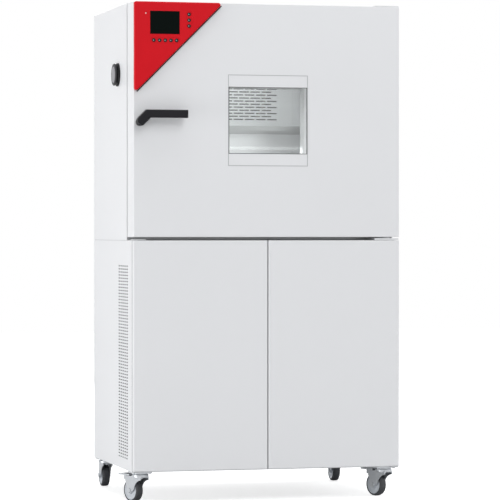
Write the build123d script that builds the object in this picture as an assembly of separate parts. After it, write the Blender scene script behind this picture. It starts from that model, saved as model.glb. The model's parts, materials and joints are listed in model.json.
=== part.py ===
"""Environmental test chamber: an insulated chamber over a machine cabinet, on casters.

Millimetres. X runs to the viewer's right, Y from the front to the rear, Z up.
The origin is on the floor under the middle of the whole object's box.
"""
from build123d import *
import math
import os

os.makedirs("parts", exist_ok=True)

# Cabinet
BODY_HEIGHT = 1605.0
CASTER_HEIGHT = 100.0
SHEET = 2.0
EDGE_RADIUS = 2.5
FRAME_TUBE = 40.0
DECK_SHEET = 3.0
PANEL_SEAM = 1.5

# Lower doors
LOWER_DOOR_THICKNESS = 22.0
LOWER_DOOR_GAP = 5.0
LOWER_DOOR_SEAM = 3.0
LOWER_DOOR_RISE = 4.0
LOWER_DOOR_DROP = 1.0
LOWER_PIN_INSET = 11.0
LOWER_PIN_DIAMETER = 8.0
LOWER_PIN_BLOCK = 28.0
LOWER_PIN_END_GAP = 0.4
LOWER_PIN_GRIP = 10.0
PIN_TAB_WIDTH = 24.0
PIN_TAB_THICKNESS = 3.0
PIN_TAB_REAR_LAP = 30.0

# Upper door
DOOR_THICKNESS = 97.0
DOOR_GAP = 8.0
DOOR_SEAM = 10.0
DOOR_TOP_DROP = 3.0
DOOR_LINER_THICKNESS = 3.0
HINGE_INSET = 22.0
HINGE_WIDTH = 82.0
HINGE_PLATE = 6.0
TOP_HINGE_PLATE = 2.4
HINGE_LIP = 20.0
HINGE_FRONT_SETBACK = 4.0
HINGE_EDGE_SETBACK = 1.0
PIN_DIAMETER = 9.0
PIN_ENGAGEMENT = 20.0
HINGE_BLOCK = 38.0
RUNNING_GAP = 0.05
SEAT_GAP = 0.3

# Insulated chamber
CAVITY_WIDTH = 600.0
CAVITY_HEIGHT = 483.0
CAVITY_DEPTH = 365.0
PLENUM_DEPTH = 90.0
SIDE_INSULATION = 142.5
TOP_INSULATION = 136.5
FLOOR_INSULATION = 143.5
REAR_INSULATION = 90.0
GASKET_WIDTH = 18.0
GASKET_MARGIN = 30.0
GASKET_EDGE_RADIUS = 3.0

# Shelf and its ledges
SHELF_RISE = 228.5
SHELF_SETBACK = 60.0
SHELF_REAR_GAP = 2.0
SHELF_LIP = 14.0
LEDGE_REACH = 11.0
LEDGE_HEIGHT = 6.0
LEDGE_PITCH = 70.0
LEDGE_END_MARGIN = 40.0
SHELF_SIDE_GAP = 2.0
SHELF_SLOT_MARGIN = 30.0
SHELF_SLOT_PITCH = 60.0
SHELF_SLOT_ROW_PITCH = 55.0
SHELF_SLOT_LENGTH = 42.0
SHELF_SLOT_WIDTH = 8.0

# Slotted air baffle
BAFFLE_SIDE_MARGIN = 24.0
BAFFLE_END_MARGIN = 22.0
AIR_SLOT_LENGTH = 34.0
AIR_SLOT_HEIGHT = 4.0
AIR_SLOT_PITCH = 39.0
AIR_SLOT_ROW_PITCH = 10.35
AIR_SLOT_COLUMNS = 8
AIR_SLOT_ROWS = 18

# Circulation fan, heater and evaporator behind the baffle
FAN_DIAMETER = 170.0
FAN_WIDTH = 40.0
FAN_BLADES = 12
FAN_HUB = 34.0
FAN_INTAKE = 132.0
FAN_BLADE_CHORD = 29.0
FAN_BLADE_EDGE = 1.0
FAN_BLADE_PITCH = 35.0
FAN_SHAFT = 10.0
FAN_SHAFT_HOLE = 30.0
FAN_FRONT_GAP = 14.0
MOTOR_DIAMETER = 100.0
MOTOR_LENGTH = 58.0
SHAFT_GRIP = 35.0
SHAFT_END_GAP = 2.0
HEATER_GAP = 35.0
HEATER_TUBE = 9.0
HEATER_LEG = 7.0
HEATER_TOP_GAP = 10.5
EVAPORATOR_SIDE_GAP = 50.0
EVAPORATOR_HEIGHT = 130.0
EVAPORATOR_DEPTH = 60.0
EVAPORATOR_FINS = 14
EVAPORATOR_REAR_GAP = 5.0
COIL_TUBE = 12.0
EVAPORATOR_TUBE_REACH = 12.0
EVAPORATOR_TUBE_LEVELS = (39.0, 91.0)
PIPE_ENTRY_INSET = 30.0

# Window in the door
WINDOW_WIDTH = 263.0
WINDOW_HEIGHT = 291.0
WINDOW_BAND = 39.0
PANE_THICKNESS = 4.0
PANE_LAP = 3.0
TUNNEL_WALL = 3.0
BAND_GAP = 0.8
PANE_REAR_SETBACK = 2.0

# Triangular control panel on the door
PANEL_LEG = 292.0
PANEL_THICKNESS = 14.0
PANEL_CORNER_RADIUS = 7.0
PANEL_EDGE_RADIUS = 4.0
DISPLAY_WIDTH = 98.0
DISPLAY_HEIGHT = 75.0
DISPLAY_DEPTH = 5.0
DISPLAY_SETBACK = 0.5
DISPLAY_LEFT = 50.0
DISPLAY_TOP = 29.0
KEY_DIAMETER = 11.6
KEY_PITCH = 18.6
KEY_DEPTH = 6.0
KEY_STAND = 0.8
KEY_TRAVEL = 1.5
KEY_GAP = 0.3
KEY_CHAMFER = 0.6
KEY_RECESS_MARGIN = 4.0
KEY_RECESS_DEPTH = 1.5
SOFT_KEYS = 5
SOFT_KEY_LEFT = 63.5
SOFT_KEY_DROP = 123.0
SIDE_KEYS = 3
SIDE_KEY_LEFT = 178.5
SIDE_KEY_DROP = 39.0

# Door handle
HANDLE_REACH = 50.0
HANDLE_DEPTH = 24.0
HANDLE_WIDTH = 25.5
HANDLE_LENGTH = 152.0
HANDLE_RISE = 22.0
HANDLE_CLEARANCE = 88.0
HANDLE_PIVOT_LEFT = 16.0
HANDLE_ARM_DEPTH = 26.0
HANDLE_EDGE_RADIUS = 4.0
HANDLE_FOOT_SHIFT = 5.0
SPINDLE_DIAMETER = 12.0
LATCH_RADIUS = 13.0
LATCH_THICKNESS = 3.0
LATCH_GAP = 1.0
SPINDLE_FOAM_GAP = 1.0
KEEPER_THICKNESS = 2.5
KEEPER_WIDTH = 34.0
KEEPER_HEIGHT = 70.0
KEEPER_OFFSET = 7.0

# Access port in the left side
PORT_BORE = 50.0
PORT_WALL = 2.5
PORT_SETBACK = 245.0
PORT_DROP = 86.5
PORT_FLANGE_DIAMETER = 76.0
PORT_FLANGE = 6.0
PORT_CHAMFER = 1.5
PLUG_HEAD_DIAMETER = 72.0
PLUG_HEAD = 10.0
PLUG_LENGTH = 110.0
PLUG_GAP = 0.1
PLUG_STEP = 4.0
PLUG_CHAMFER = 2.0
PLUG_DISH_DIAMETER = 54.0
PLUG_DISH_DEPTH = 1.5

# Vent slots in the left side panel
VENT_COLUMNS = 5
VENT_SLOT_LENGTH = 18.0
VENT_SLOT_HEIGHT = 4.0
VENT_PITCH = 31.0
VENT_ROW_PITCH = 10.0
VENT_SETBACK = 103.0
VENT_DROP = 84.0
VENT_END_MARGIN = 36.0

# Vent slots in the lower rear panel
REAR_SLOT_COLUMNS = 7
REAR_SLOT_ROWS = 9
REAR_SLOT_PITCH = 60.0
REAR_SLOT_ROW_PITCH = 25.0
REAR_SLOT_LENGTH = 44.0
REAR_SLOT_HEIGHT = 6.0

# Machine compartment
COMPRESSOR_DIAMETER = 170.0
COMPRESSOR_HEIGHT = 230.0
COMPRESSOR_FOOT = 14.0
COMPRESSOR_DOME = 38.0
COMPRESSOR_SEAM = 126.0
COMPRESSOR_SEAM_REACH = 6.0
COMPRESSOR_SEAM_HEIGHT = 4.0
COMPRESSOR_OFFSET = -60.0
COMPRESSOR_SETBACK = 170.0
CONDENSER_THICKNESS = 50.0
CONDENSER_DEPTH = 260.0
CONDENSER_TOP_GAP = 102.0
CONDENSER_SETBACK = 85.0
CONDENSER_SIDE_GAP = 18.0
CONDENSER_FINS = 18
CONDENSER_TUBES = (0.2, 0.5, 0.8)
SHROUD_SHEET = 1.5
SHROUD_DEPTH = 40.0
SHROUD_RING = 224.0
MOTOR_BAR = 4.0
MOTOR_BAR_WIDTH = 24.0
COOLING_MOTOR_LENGTH = 45.0
COOLING_MOTOR_CHAMFER = 4.0
COOLING_FAN_DIAMETER = 216.0
COOLING_FAN_BLADES = 5
COOLING_HUB = 70.0
COOLING_HUB_LENGTH = 26.0
COOLING_HUB_SETBACK = 6.0
COOLING_BLADE_CHORD = 44.0
COOLING_BLADE_PITCH = 32.0
COOLING_BLADE_LAP = 5.0
COOLING_SHAFT = 8.0
COOLING_SHAFT_GRIP = 25.0
CONTROL_BOX_WIDTH = 260.0
CONTROL_BOX_DEPTH = 300.0
CONTROL_BOX_TOP_GAP = 142.0
CONTROL_BOX_GAP = 6.0
CONTROL_COVER = 12.0
CONTROL_COVER_MARGIN = 6.0
CONTROL_COVER_EDGE = 3.0
PIPE_DIAMETER = 10.0
PIPE_BEND = 30.0
DISCHARGE_RISE = 90.0
LIQUID_LEVEL = 57.0
SUCTION_LEVEL = 80.0
SUCTION_REACH = 45.0
SUCTION_DROP = 60.0

# Main switch on the right side panel
SWITCH_SETBACK = 120.0
SWITCH_DROP = 152.0
SWITCH_DIAMETER = 42.0
SWITCH_BASE = 8.0
SWITCH_PLATE = 60.0
SWITCH_PLATE_EDGE = 2.0
SWITCH_DISC = 5.0
SWITCH_GRIP = 12.0
SWITCH_GRIP_MARGIN = 1.0
SWITCH_GRIP_EDGE = 3.0
SWITCH_STEM = 8.0
SWITCH_STEM_LAP = 2.0

# Rear fittings
SPIGOT_DIAMETER = 13.0
SPIGOT_LENGTH = 22.0
SPIGOT_RISE = 90.0
SPIGOT_LEFT = 250.0
GLAND_DIAMETER = 24.0
GLAND_LENGTH = 18.0
GLAND_SPACING = 90.0
GLAND_CHAMFER = 3.0

# Casters
WHEEL_DIAMETER = 75.0
TYRE_WIDTH = 26.0
TYRE_THICKNESS = 7.0
CASTER_TRAIL = 36.0
CASTER_INSET = 34.0
FRONT_CASTER_SETBACK = 62.0
REAR_CASTER_INSET = 40.0
FRONT_CASTER_YAW = 25.0
CASTER_PLATE = 4.0
CASTER_PLATE_WIDTH = 66.0
CASTER_PLATE_DEPTH = 70.0
CASTER_PLATE_CORNER = 6.0
CASTER_RACE_DIAMETER = 48.0
CASTER_RACE = 3.5
CASTER_HEAD_DIAMETER = 54.0
CASTER_HEAD = 8.0
CASTER_HEAD_CHAMFER = 2.5
KING_PIN = 12.0
KING_PIN_HEAD = 20.0
KING_PIN_HEAD_HEIGHT = 5.0
FORK_WALL = 2.5
FORK_GAP = 1.5
FORK_WEB = 3.0
FORK_WEB_DIAMETER = 46.0
FORK_FRONT = 24.0
FORK_REAR = 44.0
FORK_BROW = 10.0
FORK_EYE_RADIUS = 11.0
FORK_FRONT_SCOOP = 35.0
FORK_REAR_SCOOP = 16.0
AXLE_DIAMETER = 10.0
AXLE_HEAD_DIAMETER = 16.0
AXLE_HEAD = 3.0
WHEEL_HUB_RADIUS = 11.0
WHEEL_WEB_RADIUS = 13.0
WHEEL_RIM_DEPTH = 6.0
WHEEL_HUB_REACH = 0.8
TYRE_SHOULDER = 5.0
TYRE_CROWN = 1.0
PEDAL_TIP = 90.0
PEDAL_WIDTH = 44.0
PEDAL_THICKNESS = 4.0
PEDAL_CORNER = 3.0
PEDAL_START = 33.0
PEDAL_STAND = 1.5
PEDAL_PIVOT = 54.0
PEDAL_PIN = 5.0
PEDAL_PIN_DROP = 8.0
PEDAL_LUG = 3.0
PEDAL_LUG_GAP = 0.4
PEDAL_LUG_UNDER = 4.5
PEDAL_LUG_OVER = 3.6
PEDAL_LUG_REAR = 14.0
PEDAL_LUG_POST = 7.0

# Outer sizes, from the chamber outwards
BODY_WIDTH = CAVITY_WIDTH + 2 * SIDE_INSULATION
BODY_DEPTH = DOOR_THICKNESS + DOOR_GAP + CAVITY_DEPTH + PLENUM_DEPTH + REAR_INSULATION
CABINET_TOP = BODY_HEIGHT - TOP_INSULATION - CAVITY_HEIGHT - FLOOR_INSULATION
REAR_CASTER_SETBACK = BODY_DEPTH - REAR_CASTER_INSET

# Datum planes of the assembly
LEFT = -BODY_WIDTH / 2
RIGHT = BODY_WIDTH / 2
REAR_WHEEL_REACH = REAR_CASTER_SETBACK + CASTER_TRAIL + WHEEL_DIAMETER / 2
FRONT = (HANDLE_REACH - REAR_WHEEL_REACH) / 2
REAR = FRONT + BODY_DEPTH
PANEL_FRONT = FRONT + LOWER_DOOR_THICKNESS + LOWER_DOOR_GAP
DOOR_REAR = FRONT + DOOR_THICKNESS
MOUTH = DOOR_REAR + DOOR_GAP
DOOR_BOTTOM = CABINET_TOP + DOOR_SEAM
DOOR_TOP = BODY_HEIGHT - DOOR_TOP_DROP
BAFFLE_FRONT = MOUTH + CAVITY_DEPTH
LINER_REAR = BAFFLE_FRONT + PLENUM_DEPTH
CAVITY_FLOOR = CABINET_TOP + FLOOR_INSULATION
CAVITY_TOP = CAVITY_FLOOR + CAVITY_HEIGHT
HINGE_X = RIGHT - HINGE_INSET
HINGE_Y = FRONT + HINGE_INSET

# Places that hang on those planes
SHELF_HEIGHT = CAVITY_FLOOR + SHELF_RISE
HEATER_DIAMETER = FAN_DIAMETER + 2 * HEATER_GAP
AIR_FIELD_HEIGHT = CAVITY_TOP - HEATER_TOP_GAP - HEATER_DIAMETER / 2
EVAPORATOR_WIDTH = CAVITY_WIDTH - 2 * EVAPORATOR_SIDE_GAP
WINDOW_CENTRE = CAVITY_FLOOR + CAVITY_HEIGHT / 2
HANDLE_PIVOT_HEIGHT = DOOR_TOP - PANEL_LEG - HANDLE_CLEARANCE
HANDLE_BAR_HEIGHT = HANDLE_PIVOT_HEIGHT + HANDLE_RISE
HANDLE_END = HANDLE_PIVOT_LEFT + HANDLE_LENGTH
PORT_HEIGHT = CAVITY_TOP - PORT_DROP
VENT_TOP = CABINET_TOP - VENT_DROP
SWITCH_HEIGHT = CABINET_TOP - SWITCH_DROP
SPIGOT_HEIGHT = CASTER_HEIGHT + SPIGOT_RISE
DECK_TOP = CASTER_HEIGHT + FRAME_TUBE
BAY_HEIGHT = CABINET_TOP - FRAME_TUBE - DECK_TOP
CONDENSER_HEIGHT = BAY_HEIGHT - CONDENSER_TOP_GAP
CONTROL_BOX_HEIGHT = BAY_HEIGHT - CONTROL_BOX_TOP_GAP


def block(x_range, y_range, z_range):
    """A box between three pairs of coordinates."""
    (x0, x1), (y0, y1), (z0, z1) = x_range, y_range, z_range
    middle = Pos((x0 + x1) / 2, (y0 + y1) / 2, (z0 + z1) / 2)
    return middle * Box(x1 - x0, y1 - y0, z1 - z0)


def rod(start, direction, diameter, length):
    """A round bar that starts at a point and runs along a direction."""
    base = Plane(origin=start, z_dir=direction)
    return base * Cylinder(diameter / 2, length, align=(Align.CENTER, Align.CENTER, Align.MIN))


def tube(start, direction, outer, inner, length):
    """A round tube that starts at a point and runs along a direction."""
    return rod(start, direction, outer, length) - rod(start, direction, inner, length)


def slotted_sheet(plane, width, height, thickness, slots):
    """A flat sheet with rectangular slots, each given as centre x, y, length, height."""
    outline = Rectangle(width, height).wire()
    holes = [(Pos(x, y) * Rectangle(long, high)).wire() for x, y, long, high in slots]
    return extrude(plane * Face(outline, holes), thickness)


def slot_grid(columns, rows, pitch, row_pitch, length, height):
    """Slots in straight columns and rows about a sheet's middle, as slotted_sheet takes them."""
    slots = []
    for column in range(columns):
        for row in range(rows):
            across = (column - (columns - 1) / 2) * pitch
            up = (row - (rows - 1) / 2) * row_pitch
            slots.append((across, up, length, height))
    return slots


def fit_count(space, margin, length, pitch):
    """How many slots of a length fit in a space at a pitch, with a margin at each end."""
    return 1 + int((space - 2 * margin - length) // pitch)


def span(a, b):
    """Two coordinates in rising order."""
    return (min(a, b), max(a, b))


def save(node, *solids):
    """Write one node, which may hold several separate solids."""
    shape = solids[0] if len(solids) == 1 else Compound(children=list(solids))
    export_step(shape, f"parts/{node}.step")


# Insulated housing

def upper_casing():
    """The painted shell of the insulated housing, open at the front and the rear."""
    y_range = (MOUTH, REAR - SHEET)
    outer = block((LEFT, RIGHT), y_range, (CABINET_TOP, BODY_HEIGHT))
    edges = outer.edges().filter_by(Axis.Y).group_by(Axis.Z)[-1]
    inner = block((LEFT + SHEET, RIGHT - SHEET), y_range, (CABINET_TOP + SHEET, BODY_HEIGHT - SHEET))
    shell = fillet(edges, EDGE_RADIUS) - inner
    x, y = pipe_entry()
    pipe_hole = rod((x, y, CABINET_TOP), (0, 0, 1), PIPE_DIAMETER + 2 * SEAT_GAP, SHEET)
    return shell - port_cut(SHEET * 2) - pipe_hole


def port_cut(length, diameter=None):
    """The hole for the access port, from the left side inwards."""
    size = diameter or PORT_BORE + 2 * PORT_WALL
    start = (LEFT - SHEET, FRONT + PORT_SETBACK, PORT_HEIGHT)
    return rod(start, (1, 0, 0), size, length + SHEET)


def cavity(grow=0.0, front=MOUTH, rear=None):
    """The chamber's inner space, grown on every side but the front."""
    half = CAVITY_WIDTH / 2 + grow
    back = LINER_REAR + grow if rear is None else rear
    return block((-half, half), (front, back), (CAVITY_FLOOR - grow, CAVITY_TOP + grow))


def front_collar():
    """The flat front frame of the housing round the mouth of the chamber."""
    frame = block(
        (LEFT + SHEET, RIGHT - SHEET), (MOUTH, MOUTH + SHEET), (CABINET_TOP + SHEET, BODY_HEIGHT - SHEET)
    )
    return frame - cavity()


def ledge(side, height):
    """One pressed shelf ledge on a side wall of the liner; side is -1 left, 1 right."""
    wall = side * CAVITY_WIDTH / 2
    tip = wall - side * LEDGE_REACH
    y_start = MOUTH + SHELF_SETBACK / 2
    length = BAFFLE_FRONT - SHELF_REAR_GAP - y_start
    outline = Polyline(
        (wall, height - 2 * LEDGE_HEIGHT), (tip, height - LEDGE_HEIGHT), (tip, height), (wall, height), close=True
    )
    profile = Plane(origin=(0, y_start, 0), x_dir=(1, 0, 0), z_dir=(0, -1, 0)) * make_face(outline)
    return extrude(profile, -length)


def ledge_heights():
    """Heights of the ledge tops: the shelf rests on one, with others above and below."""
    top = SHELF_HEIGHT - SEAT_GAP
    below = int((SHELF_HEIGHT - CAVITY_FLOOR - LEDGE_END_MARGIN) // LEDGE_PITCH)
    above = int((CAVITY_TOP - SHELF_HEIGHT - LEDGE_END_MARGIN) // LEDGE_PITCH)
    return [top + LEDGE_PITCH * step for step in range(-below, above + 1)]


def fan_centre():
    """The point where the fan axis meets the rear wall of the liner."""
    return (0, LINER_REAR, AIR_FIELD_HEIGHT)


def inner_chamber():
    """The stainless liner with its pressed ledges."""
    shell = cavity(SHEET, MOUTH + SHEET) - cavity()
    ledges = [ledge(side, height) for side in (-1, 1) for height in ledge_heights()]
    x, y, z = fan_centre()
    shaft_hole = rod((x, y - SHEET, z), (0, 1, 0), FAN_SHAFT_HOLE, SHEET * 3)
    port = port_cut(BODY_WIDTH / 2)
    return shell + ledges - shaft_hole - port


def motor_front():
    """The y of the motor's front face; its rear end stands on the rear panel."""
    return REAR - SHEET - MOTOR_LENGTH


def chamber_insulation():
    """The foam between the casing and the liner."""
    foam = block(
        (LEFT + SHEET, RIGHT - SHEET),
        (MOUTH + SHEET, REAR - SHEET),
        (CABINET_TOP + SHEET, BODY_HEIGHT - SHEET),
    )
    foam -= cavity(SHEET)
    x, y, z = fan_centre()
    foam -= rod((x, motor_front(), z), (0, 1, 0), MOTOR_DIAMETER, MOTOR_LENGTH)
    foam -= rod((x, y, z), (0, 1, 0), FAN_SHAFT_HOLE, MOTOR_LENGTH)
    pipe = pipe_entry()
    foam -= rod((pipe[0], pipe[1], CABINET_TOP), (0, 0, 1), PIPE_DIAMETER, CAVITY_FLOOR - CABINET_TOP)
    return foam - port_cut(BODY_WIDTH / 2 - CAVITY_WIDTH / 2)


def rear_panels():
    """Upper and lower rear covers; the lower one has a block of air slots."""
    plane = Plane(origin=(0, REAR, 0), x_dir=(-1, 0, 0), z_dir=(0, 1, 0))
    upper_height = BODY_HEIGHT - CABINET_TOP
    upper = slotted_sheet(
        plane * Pos(0, CABINET_TOP + upper_height / 2), BODY_WIDTH, upper_height, -SHEET, []
    )
    lower_height = CABINET_TOP - PANEL_SEAM - CASTER_HEIGHT
    slots = slot_grid(
        REAR_SLOT_COLUMNS,
        REAR_SLOT_ROWS,
        REAR_SLOT_PITCH,
        REAR_SLOT_ROW_PITCH,
        REAR_SLOT_LENGTH,
        REAR_SLOT_HEIGHT,
    )
    centre = CASTER_HEIGHT + lower_height / 2
    lower = slotted_sheet(plane * Pos(0, centre), BODY_WIDTH, lower_height, -SHEET, slots)
    return upper, lower


def air_baffle():
    """The slotted sheet in front of the fan, with side flanges back to the liner."""
    width = CAVITY_WIDTH - 2 * BAFFLE_SIDE_MARGIN
    z_low = CAVITY_FLOOR + BAFFLE_END_MARGIN
    z_high = CAVITY_TOP - BAFFLE_END_MARGIN
    middle = (z_low + z_high) / 2
    slots = []
    for row in range(AIR_SLOT_ROWS):
        height = AIR_FIELD_HEIGHT + (row - (AIR_SLOT_ROWS - 1) / 2) * AIR_SLOT_ROW_PITCH
        count = AIR_SLOT_COLUMNS - row % 2
        for column in range(count):
            across = (column - (count - 1) / 2) * AIR_SLOT_PITCH
            slots.append((across, height - middle, AIR_SLOT_LENGTH, AIR_SLOT_HEIGHT))
    face = Plane(origin=(0, BAFFLE_FRONT, middle), x_dir=(1, 0, 0), z_dir=(0, -1, 0))
    baffle = slotted_sheet(face, width, z_high - z_low, -SHEET, slots)
    for side in (-1, 1):
        edge = side * width / 2
        baffle += block(span(edge, edge - side * SHEET), (BAFFLE_FRONT, LINER_REAR), (z_low, z_high))
    return baffle


def circulation_fan():
    """A radial wheel on a shaft that runs back into the motor."""
    x, _, z = fan_centre()
    front = BAFFLE_FRONT + SHEET + FAN_FRONT_GAP
    back = front + FAN_WIDTH
    hub = rod((x, front, z), (0, 1, 0), FAN_HUB, FAN_WIDTH)
    plate = rod((x, back - SHEET, z), (0, 1, 0), FAN_DIAMETER, SHEET)
    ring = tube((x, front, z), (0, 1, 0), FAN_DIAMETER, FAN_INTAKE, SHEET)
    blade_middle = (FAN_DIAMETER - FAN_BLADE_CHORD) / 2 - FAN_BLADE_EDGE
    blade = Rot(0, 0, FAN_BLADE_PITCH) * Box(FAN_BLADE_CHORD, SHEET, FAN_WIDTH - SHEET)
    blade = Pos(blade_middle, 0, 0) * blade
    blades = [Rot(0, 0, 360 * index / FAN_BLADES) * blade for index in range(FAN_BLADES)]
    place = Plane(origin=(x, (front + back) / 2, z), x_dir=(1, 0, 0), z_dir=(0, 1, 0))
    shaft = rod((x, front, z), (0, 1, 0), FAN_SHAFT, motor_front() + SHAFT_GRIP - front)
    return hub + plate + ring + [place * item for item in blades] + shaft


def fan_motor():
    """The circulation fan's motor, let into the foam from the rear."""
    x, _, z = fan_centre()
    body = rod((x, motor_front(), z), (0, 1, 0), MOTOR_DIAMETER, MOTOR_LENGTH)
    bore = rod((x, motor_front(), z), (0, 1, 0), FAN_SHAFT + 2 * RUNNING_GAP, SHAFT_GRIP + SHAFT_END_GAP)
    return body - bore


def heater_coil():
    """A round tubular heater about the fan, with two legs to the rear wall."""
    x, _, z = fan_centre()
    y = BAFFLE_FRONT + SHEET + FAN_FRONT_GAP + FAN_WIDTH / 2
    ring = Plane(origin=(x, y, z), z_dir=(0, 1, 0)) * Torus(HEATER_DIAMETER / 2, HEATER_TUBE / 2)
    legs = [
        rod((x + side * HEATER_DIAMETER / 2, y, z), (0, 1, 0), HEATER_LEG, LINER_REAR - y) for side in (-1, 1)
    ]
    return ring + legs


def pipe_entry():
    """Where the suction pipe comes up through the foam, as x and y."""
    y = LINER_REAR - EVAPORATOR_REAR_GAP - EVAPORATOR_DEPTH / 2
    return (EVAPORATOR_WIDTH / 2 - PIPE_ENTRY_INSET, y)


def evaporator():
    """A finned block that stands on the liner's floor behind the baffle."""
    x_entry, y_middle = pipe_entry()
    y_range = (y_middle - EVAPORATOR_DEPTH / 2, y_middle + EVAPORATOR_DEPTH / 2)
    z_range = (CAVITY_FLOOR, CAVITY_FLOOR + EVAPORATOR_HEIGHT)
    pitch = EVAPORATOR_WIDTH / (EVAPORATOR_FINS - 1)
    fins = []
    for index in range(EVAPORATOR_FINS):
        x = -EVAPORATOR_WIDTH / 2 + index * pitch
        fins.append(block((x - SHEET / 2, x + SHEET / 2), y_range, z_range))
    tube_start = -EVAPORATOR_WIDTH / 2 - EVAPORATOR_TUBE_REACH
    tubes = [
        rod((tube_start, y_middle, CAVITY_FLOOR + level), (1, 0, 0), COIL_TUBE, -2 * tube_start)
        for level in EVAPORATOR_TUBE_LEVELS
    ]
    drop = rod((x_entry, y_middle, CAVITY_FLOOR), (0, 0, 1), PIPE_DIAMETER, EVAPORATOR_TUBE_LEVELS[0])
    return tubes[0] + tubes[1] + fins + drop


def port_sleeve():
    """The lining tube of the access port with its outer flange."""
    start = (LEFT, FRONT + PORT_SETBACK, PORT_HEIGHT)
    outside = (LEFT - PORT_FLANGE, FRONT + PORT_SETBACK, PORT_HEIGHT)
    sleeve = tube(start, (1, 0, 0), PORT_BORE + 2 * PORT_WALL, PORT_BORE, (BODY_WIDTH - CAVITY_WIDTH) / 2)
    flange = tube(outside, (1, 0, 0), PORT_FLANGE_DIAMETER, PORT_BORE, PORT_FLANGE)
    return sleeve + chamfer(flange.edges().group_by(Axis.X)[0], PORT_CHAMFER)


def port_plug():
    """The soft plug of the access port: a stem and a round grip head."""
    face = LEFT - PORT_FLANGE
    centre = (FRONT + PORT_SETBACK, PORT_HEIGHT)
    stem = rod((face, *centre), (1, 0, 0), PORT_BORE - 2 * PLUG_GAP, PLUG_LENGTH)
    neck = rod((face - PLUG_HEAD, *centre), (1, 0, 0), PORT_BORE, PLUG_HEAD)
    head = rod((face - PLUG_HEAD, *centre), (1, 0, 0), PLUG_HEAD_DIAMETER, PLUG_HEAD - PLUG_STEP)
    head = chamfer(head.edges(), PLUG_CHAMFER)
    dish = rod((face - PLUG_HEAD, *centre), (1, 0, 0), PLUG_DISH_DIAMETER, PLUG_DISH_DEPTH)
    return stem + neck + head - dish


def shelf():
    """A perforated shelf with turned-down lips, resting on two ledges."""
    width = CAVITY_WIDTH - 2 * SHELF_SIDE_GAP
    y_front = MOUTH + SHELF_SETBACK
    y_rear = BAFFLE_FRONT - SHELF_REAR_GAP
    depth = y_rear - y_front
    slots = slot_grid(
        fit_count(width, SHELF_SLOT_MARGIN, SHELF_SLOT_LENGTH, SHELF_SLOT_PITCH),
        fit_count(depth, SHELF_SLOT_MARGIN, SHELF_SLOT_WIDTH, SHELF_SLOT_ROW_PITCH),
        SHELF_SLOT_PITCH,
        SHELF_SLOT_ROW_PITCH,
        SHELF_SLOT_LENGTH,
        SHELF_SLOT_WIDTH,
    )
    plane = Plane(origin=(0, (y_front + y_rear) / 2, SHELF_HEIGHT))
    sheet = slotted_sheet(plane, width, depth, SHEET, slots)
    lip_half = width / 2 - LEDGE_REACH - SHELF_SIDE_GAP
    for y in (y_front, y_rear - SHEET):
        sheet += block((-lip_half, lip_half), (y, y + SHEET), (SHELF_HEIGHT - SHELF_LIP, SHELF_HEIGHT))
    return sheet


# Upper door

def door_block(y_range, inset=0.0):
    """The door's full outline between two depths, drawn in on its four edges."""
    return block(
        (LEFT + inset, RIGHT - inset), y_range, (DOOR_BOTTOM + inset, DOOR_TOP - inset)
    )


def window_block(y_range, grow=0.0, height=WINDOW_HEIGHT):
    """The window's outline between two depths."""
    half = WINDOW_WIDTH / 2 + grow
    rise = height / 2 + grow
    return block((-half, half), y_range, (WINDOW_CENTRE - rise, WINDOW_CENTRE + rise))


def view_height():
    """The clear height of glass between the two bands."""
    return WINDOW_HEIGHT - 2 * WINDOW_BAND


def hinge_blocks(grow=0.0):
    """Solid blocks in the door's corners that hold the hinge pins."""
    half = HINGE_BLOCK / 2 + grow
    low = (DOOR_BOTTOM + SHEET, DOOR_BOTTOM + SHEET + PIN_ENGAGEMENT + grow)
    high = (DOOR_TOP - SHEET - PIN_ENGAGEMENT - grow, DOOR_TOP - SHEET)
    x_range = (HINGE_X - half, RIGHT - SHEET)
    y_range = (FRONT + SHEET, HINGE_Y + half)
    return [block(x_range, y_range, low), block(x_range, y_range, high)]


def pin_holes():
    """The door's two hinge pin bores."""
    bore = PIN_DIAMETER + 2 * RUNNING_GAP
    length = SHEET + PIN_ENGAGEMENT
    return [
        rod((HINGE_X, HINGE_Y, DOOR_BOTTOM), (0, 0, 1), bore, length),
        rod((HINGE_X, HINGE_Y, DOOR_TOP), (0, 0, -1), bore, length),
    ]


def spindle(diameter, y_range):
    """A round bar on the handle's axis between two depths."""
    start = (LEFT + HANDLE_PIVOT_LEFT, y_range[0], HANDLE_PIVOT_HEIGHT)
    return rod(start, (0, 1, 0), diameter, y_range[1] - y_range[0])


def door_skin():
    """The door's painted pan with its hinge blocks, window opening and spindle hole."""
    liner_front = DOOR_REAR - DOOR_LINER_THICKNESS
    pan = door_block((FRONT, liner_front))
    front_edges = pan.edges().group_by(Axis.Y)[0]
    pan = fillet(front_edges, EDGE_RADIUS) - door_block((FRONT + SHEET, liner_front), SHEET)
    pan += hinge_blocks()
    bore = SPINDLE_DIAMETER + 2 * RUNNING_GAP
    return pan - pin_holes() - window_block((FRONT, FRONT + SHEET)) - spindle(bore, (FRONT, FRONT + SHEET))


def tunnel_block(grow=0.0, y_range=None):
    """The window tunnel between the outer pane and the door's rear face."""
    depth = y_range or (FRONT + SHEET + PANE_THICKNESS, DOOR_REAR)
    half = WINDOW_WIDTH / 2 + grow
    rise = view_height() / 2 + grow
    return block((-half, half), depth, (WINDOW_CENTRE - rise, WINDOW_CENTRE + rise))


def door_insulation():
    """The foam that fills the door round the window tunnel."""
    foam = door_block((FRONT + SHEET, DOOR_REAR - DOOR_LINER_THICKNESS), SHEET)
    foam -= tunnel_block(TUNNEL_WALL)
    foam -= window_block((FRONT + SHEET, FRONT + SHEET + PANE_THICKNESS), PANE_LAP)
    foam -= hinge_blocks()
    return foam - spindle(SPINDLE_DIAMETER + 2 * SPINDLE_FOAM_GAP, (FRONT, DOOR_REAR))


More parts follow.
